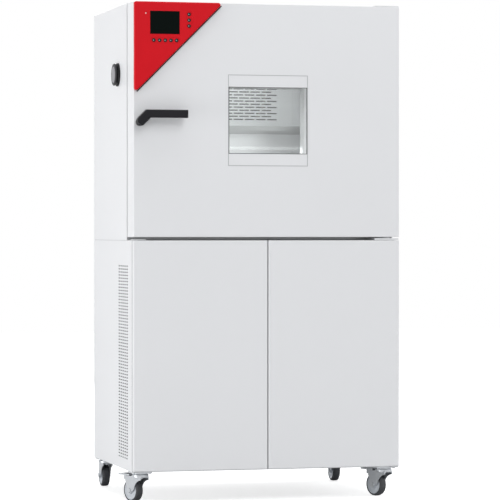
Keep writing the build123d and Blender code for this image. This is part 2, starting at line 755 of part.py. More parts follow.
def door_liner():
    """The flat inner skin of the door."""
    sheet = door_block((DOOR_REAR - DOOR_LINER_THICKNESS, DOOR_REAR))
    bore = SPINDLE_DIAMETER + 2 * RUNNING_GAP
    return sheet - tunnel_block(TUNNEL_WALL) - spindle(bore, (FRONT, DOOR_REAR))


def door_gasket():
    """The soft seal on the door's inner face round the mouth of the chamber."""
    inner = GASKET_MARGIN
    outer = inner + GASKET_WIDTH
    y_range = (DOOR_REAR, MOUTH - SEAT_GAP)

    def frame(margin):
        half = CAVITY_WIDTH / 2 + margin
        return block((-half, half), y_range, (CAVITY_FLOOR - margin, CAVITY_TOP + margin))

    ring = frame(outer) - frame(inner)
    return fillet(ring.edges().group_by(Axis.Y)[-1], GASKET_EDGE_RADIUS)


def window_panes():
    """Three panes: one behind the skin, two inside the tunnel."""
    front = FRONT + SHEET
    outer = window_block((front, front + PANE_THICKNESS), PANE_LAP)
    middle_front = FRONT + DOOR_THICKNESS / 2
    middle = tunnel_block(0, (middle_front, middle_front + PANE_THICKNESS))
    inner_rear = DOOR_REAR - PANE_REAR_SETBACK
    inner = tunnel_block(0, (inner_rear - PANE_THICKNESS, inner_rear))
    return outer, middle, inner


def window_frame():
    """The tunnel that lines the window through the door."""
    return tunnel_block(TUNNEL_WALL) - tunnel_block()


def window_bands():
    """Two flush bands that cover the glass above and below the view."""
    half = WINDOW_WIDTH / 2 - BAND_GAP
    bands = []
    for side in (-1, 1):
        outer = WINDOW_CENTRE + side * (WINDOW_HEIGHT / 2 - BAND_GAP)
        inner = WINDOW_CENTRE + side * view_height() / 2
        bands.append(block((-half, half), (FRONT, FRONT + SHEET), span(outer, inner)))
    return bands


def soft_key_places():
    """Centres of the keys in a row under the display, as x and z."""
    x_first = LEFT + SOFT_KEY_LEFT
    return [(x_first + KEY_PITCH * index, DOOR_TOP - SOFT_KEY_DROP) for index in range(SOFT_KEYS)]


def side_key_places():
    """Centres of the keys in a column beside the display, as x and z."""
    z_first = DOOR_TOP - SIDE_KEY_DROP
    return [(LEFT + SIDE_KEY_LEFT, z_first - KEY_PITCH * index) for index in range(SIDE_KEYS)]


def display_block(y_range):
    """The display's outline between two depths."""
    x_low = LEFT + DISPLAY_LEFT
    z_high = DOOR_TOP - DISPLAY_TOP
    return block((x_low, x_low + DISPLAY_WIDTH), y_range, (z_high - DISPLAY_HEIGHT, z_high))


def panel_housing():
    """The moulded triangle in the door's top left corner, with its recesses."""
    face_plane = Plane(origin=(LEFT, FRONT, DOOR_TOP), x_dir=(1, 0, 0), z_dir=(0, -1, 0))
    triangle = make_face(Polyline((0, 0), (PANEL_LEG, 0), (0, -PANEL_LEG), close=True))
    triangle = fillet(triangle.vertices(), PANEL_CORNER_RADIUS)
    body = extrude(face_plane * triangle, PANEL_THICKNESS)
    body = fillet(body.edges().group_by(Axis.Y)[0], PANEL_EDGE_RADIUS)
    face = FRONT - PANEL_THICKNESS
    body -= display_block((face, face + DISPLAY_DEPTH))
    slot_width = KEY_DIAMETER + 2 * KEY_RECESS_MARGIN
    for places, turn in ((soft_key_places(), 0), (side_key_places(), 90)):
        centre_x = sum(place[0] for place in places) / len(places)
        centre_z = sum(place[1] for place in places) / len(places)
        plane = Plane(origin=(centre_x, face, centre_z), x_dir=(1, 0, 0), z_dir=(0, 1, 0))
        recess = SlotCenterToCenter(KEY_PITCH * (len(places) - 1), slot_width, rotation=turn)
        body -= extrude(plane * recess, KEY_RECESS_DEPTH)
        for x, z in places:
            body -= rod((x, face, z), (0, 1, 0), KEY_DIAMETER + 2 * KEY_GAP, KEY_RECESS_DEPTH + KEY_DEPTH)
    return body


def display():
    """The display's dark window."""
    face = FRONT - PANEL_THICKNESS
    return display_block((face + DISPLAY_SETBACK, face + DISPLAY_DEPTH))


def key(place):
    """One round key; it stands proud of its recess and can be pressed."""
    x, z = place
    floor = FRONT - PANEL_THICKNESS + KEY_RECESS_DEPTH
    length = KEY_DEPTH + KEY_STAND - KEY_TRAVEL - SEAT_GAP
    cap = rod((x, floor - KEY_STAND, z), (0, 1, 0), KEY_DIAMETER, length)
    return chamfer(cap.edges().group_by(Axis.Y)[0], KEY_CHAMFER)


def door_handle():
    """The angled lever with its spindle and the latch cam behind the door."""
    pivot_x = LEFT + HANDLE_PIVOT_LEFT
    rise = HANDLE_BAR_HEIGHT - HANDLE_PIVOT_HEIGHT
    path = Polyline(
        (pivot_x, HANDLE_PIVOT_HEIGHT),
        (pivot_x + rise, HANDLE_BAR_HEIGHT),
        (LEFT + HANDLE_END, HANDLE_BAR_HEIGHT),
    )
    lever_plane = Plane(origin=(0, FRONT - HANDLE_REACH, 0), x_dir=(1, 0, 0), z_dir=(0, -1, 0))
    strip = trace(path, HANDLE_WIDTH)
    strip += Pos(pivot_x, HANDLE_PIVOT_HEIGHT) * Circle(HANDLE_WIDTH / 2)
    lever = extrude(lever_plane * strip, -HANDLE_DEPTH)
    lever = fillet(lever.edges().group_by(Axis.Y)[0], HANDLE_EDGE_RADIUS)
    foot_path = Polyline((0, 0), (rise, rise))
    arm = trace(foot_path, HANDLE_WIDTH) + Circle(HANDLE_WIDTH / 2)
    shift = HANDLE_FOOT_SHIFT / math.sqrt(2)
    arm = Pos(pivot_x + shift, HANDLE_PIVOT_HEIGHT - shift) * arm
    arm_plane = Plane(origin=(0, FRONT - HANDLE_ARM_DEPTH, 0), x_dir=(1, 0, 0), z_dir=(0, -1, 0))
    foot = extrude(arm_plane * arm, -(HANDLE_ARM_DEPTH - SEAT_GAP))
    cam_start = DOOR_REAR + LATCH_GAP
    bar = spindle(SPINDLE_DIAMETER, (FRONT - HANDLE_ARM_DEPTH, cam_start + LATCH_THICKNESS))
    cam = spindle(2 * LATCH_RADIUS, (cam_start, cam_start + LATCH_THICKNESS))
    notch_x = pivot_x + LATCH_RADIUS / 2
    cam -= block(
        (notch_x, notch_x + LATCH_RADIUS),
        (cam_start, cam_start + LATCH_THICKNESS),
        (HANDLE_PIVOT_HEIGHT - LATCH_RADIUS, HANDLE_PIVOT_HEIGHT + LATCH_RADIUS),
    )
    return lever + foot + bar + cam


def door_fittings():
    """Lower and upper hinge brackets with their pins, and the latch keeper."""
    x_range = (RIGHT - HINGE_WIDTH, RIGHT - HINGE_EDGE_SETBACK)
    y_range = (FRONT + HINGE_FRONT_SETBACK, MOUTH - HINGE_EDGE_SETBACK)
    low_top = CABINET_TOP + HINGE_PLATE
    lower = block(x_range, y_range, (CABINET_TOP, low_top))
    lower += rod((HINGE_X, HINGE_Y, CABINET_TOP), (0, 0, 1), PIN_DIAMETER, DOOR_SEAM + PIN_ENGAGEMENT)
    lower -= lower_pin(1, RUNNING_GAP)
    high_bottom = BODY_HEIGHT - TOP_HINGE_PLATE
    upper = block(x_range, (y_range[0], MOUTH), (high_bottom, BODY_HEIGHT))
    upper += block(x_range, (MOUTH - SHEET, MOUTH), (high_bottom - HINGE_LIP, BODY_HEIGHT))
    upper += rod((HINGE_X, HINGE_Y, BODY_HEIGHT), (0, 0, -1), PIN_DIAMETER, DOOR_TOP_DROP + PIN_ENGAGEMENT)
    keeper_x = LEFT + HANDLE_PIVOT_LEFT + KEEPER_OFFSET
    keeper = block(
        (keeper_x - KEEPER_WIDTH / 2, keeper_x + KEEPER_WIDTH / 2),
        (MOUTH - KEEPER_THICKNESS, MOUTH),
        (HANDLE_PIVOT_HEIGHT - KEEPER_HEIGHT / 2, HANDLE_PIVOT_HEIGHT + KEEPER_HEIGHT / 2),
    )
    return lower, upper, keeper


# Machine cabinet

def base_frame():
    """A welded tube frame with a deck and the tabs that hinge the lower doors."""
    x_range = (LEFT + SHEET, RIGHT - SHEET)
    y_range = (PANEL_FRONT, REAR - SHEET)
    frame = block(x_range, y_range, (CASTER_HEIGHT, CABINET_TOP))
    x_in = (x_range[0] + FRAME_TUBE, x_range[1] - FRAME_TUBE)
    y_in = (y_range[0] + FRAME_TUBE, y_range[1] - FRAME_TUBE)
    z_in = (CASTER_HEIGHT + FRAME_TUBE, CABINET_TOP - FRAME_TUBE)
    frame -= block(x_in, y_range, z_in)
    frame -= block(x_range, y_in, z_in)
    frame -= block(x_in, y_in, (z_in[1], CABINET_TOP))
    frame -= block(x_in, y_in, (CASTER_HEIGHT, z_in[0] - DECK_SHEET))
    tab_front = FRONT + HINGE_FRONT_SETBACK
    for side in (-1, 1):
        edge = side * (BODY_WIDTH / 2 - HINGE_EDGE_SETBACK)
        tab_x = span(edge, edge - side * PIN_TAB_WIDTH)
        frame += block(tab_x, (tab_front, PANEL_FRONT), (CASTER_HEIGHT, CASTER_HEIGHT + PIN_TAB_THICKNESS))
    tab_x = (LEFT + HINGE_EDGE_SETBACK, LEFT + FRAME_TUBE)
    frame += block(
        tab_x, (tab_front, PANEL_FRONT + PIN_TAB_REAR_LAP), (CABINET_TOP, CABINET_TOP + PIN_TAB_THICKNESS)
    )
    return frame - lower_pin(-1, RUNNING_GAP) - lower_pin(1, RUNNING_GAP)


def lower_pin(side, grow=0.0):
    """The pin axis of a lower door, from its bottom tab to its top one; its bore is grown."""
    x = side * (BODY_WIDTH / 2 - LOWER_PIN_INSET)
    end_gap = 0 if grow else LOWER_PIN_END_GAP
    start = (x, FRONT + LOWER_PIN_INSET, CASTER_HEIGHT + end_gap)
    length = CABINET_TOP + PIN_TAB_THICKNESS - CASTER_HEIGHT - 2 * end_gap
    return rod(start, (0, 0, 1), LOWER_PIN_DIAMETER + 2 * grow, length)


def lower_door(side):
    """One lower door: a pan with corner blocks on its hinge pins."""
    edge = side * BODY_WIDTH / 2
    x_range = span(edge, side * LOWER_DOOR_SEAM / 2)
    y_range = (FRONT, FRONT + LOWER_DOOR_THICKNESS)
    z_range = (CASTER_HEIGHT + LOWER_DOOR_RISE, CABINET_TOP - LOWER_DOOR_DROP)
    pan = block(x_range, y_range, z_range)
    pan = fillet(pan.edges().group_by(Axis.Y)[0], EDGE_RADIUS)
    pan -= block(
        (x_range[0] + SHEET, x_range[1] - SHEET),
        (FRONT + SHEET, y_range[1]),
        (z_range[0] + SHEET, z_range[1] - SHEET),
    )
    corner_x = span(edge - side * SHEET, edge - side * 2 * LOWER_PIN_INSET)
    for z_end, inwards in ((z_range[0], 1), (z_range[1], -1)):
        z_start = z_end + inwards * SHEET
        z_corner = span(z_start, z_start + inwards * LOWER_PIN_BLOCK)
        pan += block(corner_x, (FRONT + SHEET, y_range[1]), z_corner)
    between = (z_range[0] + LOWER_PIN_GRIP, z_range[1] - LOWER_PIN_GRIP)
    return pan + (lower_pin(side) - block(x_range, y_range, between))


def side_panel_left():
    """The left side panel with its field of vent slots."""
    depth = REAR - SHEET - PANEL_FRONT
    height = CABINET_TOP - PANEL_SEAM - CASTER_HEIGHT
    y_middle = (PANEL_FRONT + REAR - SHEET) / 2
    z_middle = CASTER_HEIGHT + height / 2
    field_y = FRONT + VENT_SETBACK + (VENT_COLUMNS - 1) / 2 * VENT_PITCH
    rows = fit_count(VENT_TOP - CASTER_HEIGHT, VENT_END_MARGIN / 2, 0, VENT_ROW_PITCH)
    field_z = VENT_TOP - (rows - 1) / 2 * VENT_ROW_PITCH
    slots = [
        (across + field_y - y_middle, up + field_z - z_middle, VENT_SLOT_LENGTH, VENT_SLOT_HEIGHT)
        for across, up, _, _ in slot_grid(VENT_COLUMNS, rows, VENT_PITCH, VENT_ROW_PITCH, 0, 0)
    ]
    plane = Plane(origin=(LEFT, y_middle, z_middle), x_dir=(0, 1, 0), z_dir=(1, 0, 0))
    return slotted_sheet(plane, depth, height, SHEET, slots)


def switch_place():
    """The centre of the main switch on the outer face of the right side panel."""
    return (RIGHT, FRONT + SWITCH_SETBACK, SWITCH_HEIGHT)


def side_panel_right():
    """The right side panel with the raised base of the main switch."""
    height = (CASTER_HEIGHT, CABINET_TOP - PANEL_SEAM)
    panel = block((RIGHT - SHEET, RIGHT), (PANEL_FRONT, REAR - SHEET), height)
    x, y, z = switch_place()
    half = SWITCH_PLATE / 2
    base = block((x, x + SWITCH_BASE), (y - half, y + half), (z - half, z + half))
    base = fillet(base.edges().group_by(Axis.X)[-1], SWITCH_PLATE_EDGE)
    bore = rod((x - SHEET, y, z), (1, 0, 0), SWITCH_STEM + 2 * RUNNING_GAP, SHEET + SWITCH_BASE)
    return panel + base - bore


def main_switch(reach):
    """The rotary knob of the main switch with its stem."""
    x, y, z = switch_place()
    knob_back = x + SWITCH_BASE + SEAT_GAP
    disc = rod((knob_back, y, z), (1, 0, 0), SWITCH_DIAMETER, SWITCH_DISC)
    half_y = SWITCH_GRIP / 2
    half_z = SWITCH_DIAMETER / 2 - SWITCH_GRIP_MARGIN
    grip = block((knob_back, x + reach), (y - half_y, y + half_y), (z - half_z, z + half_z))
    grip = fillet(grip.edges().filter_by(Axis.X), SWITCH_GRIP_EDGE)
    stem = rod((x - SHEET, y, z), (1, 0, 0), SWITCH_STEM, SHEET + SWITCH_BASE + SWITCH_STEM_LAP)
    return disc + grip + stem


def compressor_place():
    """The centre of the compressor on the deck, as x and y."""
    return (COMPRESSOR_OFFSET, REAR - COMPRESSOR_SETBACK)


def compressor():
    """A hermetic compressor: a domed pot on a foot plate."""
    x, y = compressor_place()
    z = DECK_TOP
    radius = COMPRESSOR_DIAMETER / 2
    foot = block((x - radius, x + radius), (y - radius, y + radius), (z, z + COMPRESSOR_FOOT))
    body = rod((x, y, z + COMPRESSOR_FOOT), (0, 0, 1), COMPRESSOR_DIAMETER, COMPRESSOR_HEIGHT)
    body = fillet(body.edges().group_by(Axis.Z)[-1], COMPRESSOR_DOME)
    seam_at = (x, y, z + COMPRESSOR_FOOT + COMPRESSOR_SEAM)
    seam = rod(seam_at, (0, 0, 1), COMPRESSOR_DIAMETER + 2 * COMPRESSOR_SEAM_REACH, COMPRESSOR_SEAM_HEIGHT)
    return foot + body + seam


def condenser_x():
    """The condenser's left and right faces."""
    left = LEFT + SHEET + FRAME_TUBE + CONDENSER_SIDE_GAP
    return (left, left + CONDENSER_THICKNESS)


def condenser():
    """Horizontal fins on upright tubes between two end plates, standing on the deck."""
    x0, x1 = condenser_x()
    y0 = FRONT + CONDENSER_SETBACK
    y1 = y0 + CONDENSER_DEPTH
    z0 = DECK_TOP
    z1 = z0 + CONDENSER_HEIGHT
    core = block((x0, x1), (y0, y0 + SHEET), (z0, z1)) + block((x0, x1), (y1 - SHEET, y1), (z0, z1))
    pitch = (CONDENSER_HEIGHT - SHEET) / (CONDENSER_FINS - 1)
    fins = [
        block((x0, x1), (y0, y1), (z0 + index * pitch, z0 + index * pitch + SHEET))
        for index in range(CONDENSER_FINS)
    ]
    tubes = [
        rod(((x0 + x1) / 2, y0 + CONDENSER_DEPTH * share, z0), (0, 0, 1), COIL_TUBE, CONDENSER_HEIGHT)
        for share in CONDENSER_TUBES
    ]
    return core + fins + tubes


def fan_axis():
    """The condenser fan's centre on the condenser's right face."""
    return (
        condenser_x()[1],
        FRONT + CONDENSER_SETBACK + CONDENSER_DEPTH / 2,
        DECK_TOP + CONDENSER_HEIGHT / 2,
    )


def condenser_shroud():
    """The fan's shroud on the condenser, with the motor on a cross bar."""
    x, y, z = fan_axis()
    half_y = CONDENSER_DEPTH / 2
    half_z = CONDENSER_HEIGHT / 2
    x_out = x + SHROUD_DEPTH
    outer = block((x, x_out), (y - half_y, y + half_y), (z - half_z, z + half_z))
    inner = block(
        (x, x_out - SHROUD_SHEET),
        (y - half_y + SHROUD_SHEET, y + half_y - SHROUD_SHEET),
        (z - half_z + SHROUD_SHEET, z + half_z - SHROUD_SHEET),
    )
    box = outer - inner - rod((x, y, z), (1, 0, 0), SHROUD_RING, SHROUD_DEPTH)
    half_bar = MOTOR_BAR_WIDTH / 2
    bar = block((x_out, x_out + MOTOR_BAR), (y - half_y, y + half_y), (z - half_bar, z + half_bar))
    motor = rod((x_out + MOTOR_BAR, y, z), (1, 0, 0), COOLING_HUB, COOLING_MOTOR_LENGTH)
    motor = chamfer(motor.edges().group_by(Axis.X)[-1], COOLING_MOTOR_CHAMFER)
    bore_length = MOTOR_BAR + COOLING_SHAFT_GRIP + SHAFT_END_GAP
    bore = rod((x_out, y, z), (1, 0, 0), COOLING_SHAFT + 2 * RUNNING_GAP, bore_length)
    return box + bar + motor - bore


def condenser_fan():
    """An axial fan: pitched blades on a hub, with its shaft in the motor."""
    x, y, z = fan_axis()
    hub_x = x + COOLING_HUB_SETBACK
    hub = rod((hub_x, y, z), (1, 0, 0), COOLING_HUB, COOLING_HUB_LENGTH)
    blade_length = (COOLING_FAN_DIAMETER - COOLING_HUB) / 2 + COOLING_BLADE_LAP
    blade = Rot(COOLING_BLADE_PITCH, 0, 0) * Box(blade_length, COOLING_BLADE_CHORD, SHEET)
    blade = Pos((COOLING_FAN_DIAMETER - blade_length) / 2, 0, 0) * blade
    round_off = Cylinder(COOLING_FAN_DIAMETER / 2, COOLING_BLADE_CHORD)
    place = Plane(origin=(hub_x + COOLING_HUB_LENGTH / 2, y, z), z_dir=(1, 0, 0))
    blades = [
        place * ((Rot(0, 0, 360 * index / COOLING_FAN_BLADES) * blade) & round_off)
        for index in range(COOLING_FAN_BLADES)
    ]
    shaft_end = x + SHROUD_DEPTH + MOTOR_BAR + COOLING_SHAFT_GRIP
    shaft = rod((hub_x, y, z), (1, 0, 0), COOLING_SHAFT, shaft_end - hub_x)
    return hub + blades + shaft


def control_box():
    """The closed electrical box on the deck, with its cover standing proud."""
    x1 = RIGHT - SHEET - FRAME_TUBE - CONTROL_BOX_GAP
    x0 = x1 - CONTROL_BOX_WIDTH
    y1 = REAR - SHEET - FRAME_TUBE - CONTROL_BOX_GAP
    y0 = y1 - CONTROL_BOX_DEPTH
    z0 = DECK_TOP
    z1 = z0 + CONTROL_BOX_HEIGHT
    box = block((x0, x1), (y0, y1), (z0, z1))
    margin = CONTROL_COVER_MARGIN
    cover = block((x0 + margin, x1 - margin), (y0 - CONTROL_COVER, y0), (z0 + margin, z1 - margin))
    cover = fillet(cover.edges().group_by(Axis.Y)[0], CONTROL_COVER_EDGE)
    return box + cover


def pipe(*points):
    """A pipe through some points, with round bends."""
    path = FilletPolyline(*points, radius=PIPE_BEND)
    section = Plane(origin=path @ 0, z_dir=path % 0) * Circle(PIPE_DIAMETER / 2)
    return sweep(section, path)


def refrigerant_pipes():
    """Discharge and liquid pipes to the condenser, and the suction pipe upwards."""
    x, y = compressor_place()
    radius = COMPRESSOR_DIAMETER / 2
    z = DECK_TOP + COMPRESSOR_FOOT
    top = z + COMPRESSOR_HEIGHT
    x_left, x_right = condenser_x()
    y_rear = FRONT + CONDENSER_SETBACK + CONDENSER_DEPTH
    x_mid = (x_left + x_right) / 2
    high = top + DISCHARGE_RISE
    discharge = pipe((x, y, top), (x, y, high), (x_mid, y, high), (x_mid, y_rear, high))
    low = z + LIQUID_LEVEL
    liquid = pipe((x - radius, y, low), (x_mid, y, low), (x_mid, y_rear, low))
    entry_x, entry_y = pipe_entry()
    riser_x = x + radius + SUCTION_REACH
    suction = pipe(
        (x + radius, y, z + SUCTION_LEVEL),
        (riser_x, y, z + SUCTION_LEVEL),
        (riser_x, y, CABINET_TOP - SUCTION_DROP),
        (entry_x, entry_y, CABINET_TOP - SUCTION_DROP),
        (entry_x, entry_y, CAVITY_FLOOR - SHEET),
    )
    return discharge, liquid, suction


def rear_connections():
    """A drain spigot and a cable gland on the lower rear panel."""
    spigot_at = (LEFT + SPIGOT_LEFT, REAR, SPIGOT_HEIGHT)
    spigot = rod(spigot_at, (0, 1, 0), SPIGOT_DIAMETER, SPIGOT_LENGTH)
    gland_at = (LEFT + SPIGOT_LEFT + GLAND_SPACING, REAR, SPIGOT_HEIGHT)
    gland = rod(gland_at, (0, 1, 0), GLAND_DIAMETER, GLAND_LENGTH)
    gland = chamfer(gland.edges().group_by(Axis.Y)[-1], GLAND_CHAMFER)
    return spigot, gland


# Casters, built about a swivel axis at the origin with the wheel trailing in +Y

def caster_plate():
    """The fixed top plate with its race and king pin."""
    half_x = CASTER_PLATE_WIDTH / 2
    half_y = CASTER_PLATE_DEPTH / 2
    low = CASTER_HEIGHT - CASTER_PLATE
    plate = block((-half_x, half_x), (-half_y, half_y), (low, CASTER_HEIGHT))
    plate = fillet(plate.edges().filter_by(Axis.Z), CASTER_PLATE_CORNER)
    race = rod((0, 0, low - CASTER_RACE), (0, 0, 1), CASTER_RACE_DIAMETER, CASTER_RACE)
    pin_low = fork_top() - FORK_WEB - KING_PIN_HEAD_HEIGHT
    pin = rod((0, 0, pin_low), (0, 0, 1), KING_PIN, low - pin_low)
    pin_head = rod((0, 0, pin_low), (0, 0, 1), KING_PIN_HEAD, KING_PIN_HEAD_HEIGHT - SEAT_GAP)
    return plate + race + pin + pin_head


def fork_top():
    """The height of the top of the fork's pressed web, under its round head."""
    return CASTER_HEIGHT - CASTER_PLATE - CASTER_RACE - SEAT_GAP - CASTER_HEAD


def caster_fork(with_brake):
    """The swivel fork: a round head, a web and two cheeks down to the axle."""
    top = fork_top()
    inner = TYRE_WIDTH / 2 + FORK_GAP
    outer = inner + FORK_WALL
    axle_height = WHEEL_DIAMETER / 2
    tail = PEDAL_PIVOT + PEDAL_PIN if with_brake else FORK_REAR
    upper = Pos((tail - FORK_FRONT) / 2, top - FORK_BROW / 2) * Rectangle(tail + FORK_FRONT, FORK_BROW)
    eye = Pos(CASTER_TRAIL, axle_height) * Circle(FORK_EYE_RADIUS)
    cheek = make_hull(upper.edges() + eye.edges())
    cheek -= Pos(-FORK_FRONT, axle_height) * Circle(FORK_FRONT_SCOOP)
    if with_brake:
        cheek -= Pos(tail + FORK_EYE_RADIUS, axle_height + FORK_REAR_SCOOP) * Circle(FORK_REAR_SCOOP)
    side_plane = Plane(origin=(-outer, 0, 0), x_dir=(0, 1, 0), z_dir=(1, 0, 0))
    fork = extrude(side_plane * cheek, 2 * outer)
    fork -= block((-inner, inner), (-2 * tail, 2 * tail), (0, top - FORK_WEB))
    head = rod((0, 0, top), (0, 0, 1), CASTER_HEAD_DIAMETER, CASTER_HEAD)
    head = chamfer(head.edges().group_by(Axis.Z)[-1], CASTER_HEAD_CHAMFER)
    web = rod((0, 0, top - FORK_WEB), (0, 0, 1), FORK_WEB_DIAMETER, FORK_WEB)
    fork = fork + head + web
    fork -= rod((0, 0, 0), (0, 0, 1), KING_PIN + 2 * RUNNING_GAP, CASTER_HEIGHT)
    axle_reach = outer + AXLE_HEAD
    fork += rod((-axle_reach, CASTER_TRAIL, axle_height), (1, 0, 0), AXLE_DIAMETER, 2 * axle_reach)
    for start in (-axle_reach, outer):
        fork += rod((start, CASTER_TRAIL, axle_height), (1, 0, 0), AXLE_HEAD_DIAMETER, AXLE_HEAD)
    if with_brake:
        fork += rod((-outer, PEDAL_PIVOT, pedal_height()), (1, 0, 0), PEDAL_PIN, 2 * outer)
    return fork


def turned_wheel(side):
    """A ring about the axle, from half of its section as radius and distance across."""
    other_side = [(radius, -across) for radius, across in reversed(side)]
    section = make_face(Polyline(*side, *other_side, close=True))
    ring = revolve(Plane(origin=(0, 0, 0), x_dir=(0, 1, 0), z_dir=(0, 0, 1)) * section, Axis.X)
    return Pos(0, CASTER_TRAIL, WHEEL_DIAMETER / 2) * ring


def caster_wheel():
    """The wheel's hub, web and rim as one turned piece."""
    bore = AXLE_DIAMETER / 2 + RUNNING_GAP
    rim = WHEEL_DIAMETER / 2 - TYRE_THICKNESS
    half = TYRE_WIDTH / 2
    side = [
        (bore, half + WHEEL_HUB_REACH),
        (WHEEL_HUB_RADIUS, half + WHEEL_HUB_REACH),
        (WHEEL_WEB_RADIUS, half - WHEEL_RIM_DEPTH / 2),
        (rim - WHEEL_RIM_DEPTH, half - WHEEL_RIM_DEPTH / 2),
        (rim - WHEEL_RIM_DEPTH / 2, half - 1),
        (rim, half - 1),
    ]
    return turned_wheel(side)


def caster_tyre():
    """The soft tyre: a slightly crowned tread with bevelled shoulders."""
    outer = WHEEL_DIAMETER / 2
    inner = outer - TYRE_THICKNESS
    half = TYRE_WIDTH / 2
    side = [
        (inner, half),
        (outer - TYRE_SHOULDER, half),
        (outer - TYRE_SHOULDER / 3, half - TYRE_SHOULDER / 3),
        (outer - TYRE_CROWN / 3, half - TYRE_SHOULDER),
        (outer, half / 3),
    ]
    return turned_wheel(side)


def pedal_height():
    """The height of the brake pedal's pin."""
    return fork_top() - PEDAL_PIN_DROP


def brake_pedal():
    """The brake pedal: a plate on two lugs that turn on the fork's pin."""
    low = fork_top() + PEDAL_STAND
    half = PEDAL_WIDTH / 2
    pedal = block((-half, half), (PEDAL_START, PEDAL_TIP), (low, low + PEDAL_THICKNESS))
    pedal = fillet(pedal.edges().filter_by(Axis.Z), PEDAL_CORNER)
    lug_x = TYRE_WIDTH / 2 + FORK_GAP - PEDAL_LUG_GAP
    lug_rear = PEDAL_PIVOT + PEDAL_LUG_REAR
    lug_low = pedal_height() - PEDAL_LUG_UNDER
    for side in (-1, 1):
        x_range = span(side * lug_x, side * (lug_x - PEDAL_LUG))
        pedal += block(x_range, (lug_rear - PEDAL_LUG_POST, lug_rear), (lug_low, low))
        pedal += block(
            x_range, (PEDAL_PIVOT - PEDAL_LUG_UNDER, lug_rear), (lug_low, pedal_height() + PEDAL_LUG_OVER)
        )
    bore = rod((-half, PEDAL_PIVOT, pedal_height()), (1, 0, 0), PEDAL_PIN + 2 * RUNNING_GAP, PEDAL_WIDTH)
    return pedal - bore


CASTERS = [
    ("front_left", -1, FRONT_CASTER_SETBACK, FRONT_CASTER_YAW, True),
    ("front_right", 1, FRONT_CASTER_SETBACK, FRONT_CASTER_YAW, True),
    ("rear_left", -1, REAR_CASTER_SETBACK, 0.0, False),
    ("rear_right", 1, REAR_CASTER_SETBACK, 0.0, False),
]


def caster_place(side, setback, yaw=0.0):
    """The place of a caster's swivel axis, turned about it."""
    return Pos(side * (BODY_WIDTH / 2 - CASTER_INSET), FRONT + setback, 0) * Rot(0, 0, yaw)


def build_casters():
    """Write the four casters and return how far they reach past the cabinet's side."""
    plates = []
    reach = 0.0
    for name, side, setback, yaw, with_brake in CASTERS:
        plates.append(caster_place(side, setback) * caster_plate())
        place = caster_place(side, setback, yaw)
        save(f"fork_{name}", place * caster_fork(with_brake))
        save(f"wheel_{name}", place * caster_wheel())
        save(f"tyre_{name}", place * caster_tyre())
        if with_brake:
            pedal = place * brake_pedal()
            reach = max(reach, LEFT - pedal.bounding_box().min.X)
            save(f"brake_pedal_{name}", pedal)
    save("caster_plates", *plates)
    return reach


def build_housing():
    """Write the insulated housing and what it holds."""
    save("upper_casing", upper_casing())
    save("front_collar", front_collar())
    save("inner_chamber", inner_chamber())
    save("chamber_insulation", chamber_insulation())
    save("rear_panels", *rear_panels())
    save("air_baffle", air_baffle())
    save("circulation_fan", circulation_fan())
    save("fan_motor", fan_motor())
    save("heater_coil", heater_coil())
    save("evaporator", evaporator())
    save("port_sleeve", port_sleeve())
    save("port_plug", port_plug())
    save("shelf", shelf())


def build_door():
    """Write the upper door and what it carries."""
    save("door_skin", door_skin())
    save("door_insulation", door_insulation())
    save("door_liner", door_liner())
    save("door_gasket", door_gasket())
    save("window_panes", *window_panes())
    save("window_frame", window_frame())
    save("window_bands", *window_bands())
    save("panel_housing", panel_housing())
    save("display", display())
    for index, place in enumerate(soft_key_places(), start=1):
        save(f"soft_key_{index}", key(place))
    for index, place in enumerate(side_key_places(), start=1):
        save(f"side_key_{index}", key(place))
    save("door_handle", door_handle())
    save("door_fittings", *door_fittings())


def build_cabinet(switch_reach):
    """Write the machine cabinet and what it holds."""
    save("base_frame", base_frame())
    save("side_panel_left", side_panel_left())
    save("side_panel_right", side_panel_right())
    save("main_switch", main_switch(switch_reach))
    save("lower_door_left", lower_door(-1))
    save("lower_door_right", lower_door(1))
    save("compressor", compressor())
    save("condenser", condenser())
    save("condenser_shroud", condenser_shroud())
    save("condenser_fan", condenser_fan())
    save("control_box", control_box())
    save("refrigerant_pipes", *refrigerant_pipes())
    save("rear_connections", *rear_connections())


side_reach = build_casters()
build_housing()
build_door()
build_cabinet(side_reach)
print(f"the pedals and the main switch reach {side_reach:.2f} mm past the cabinet's sides")
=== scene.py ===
# %% [markdown]
# # Environmental test chamber
#
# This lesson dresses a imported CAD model: an insulated test chamber that stands on a
# machine cabinet with four casters. The CAD model gives every size and every joint.
# Here the surfaces get their finishes, and small fittings are modelled that are too
# fine for the CAD: seals, screws, a fan guard, a status lamp and key dots.

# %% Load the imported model
import json
import math

import bmesh
import bpy
from mathutils import Matrix, Vector


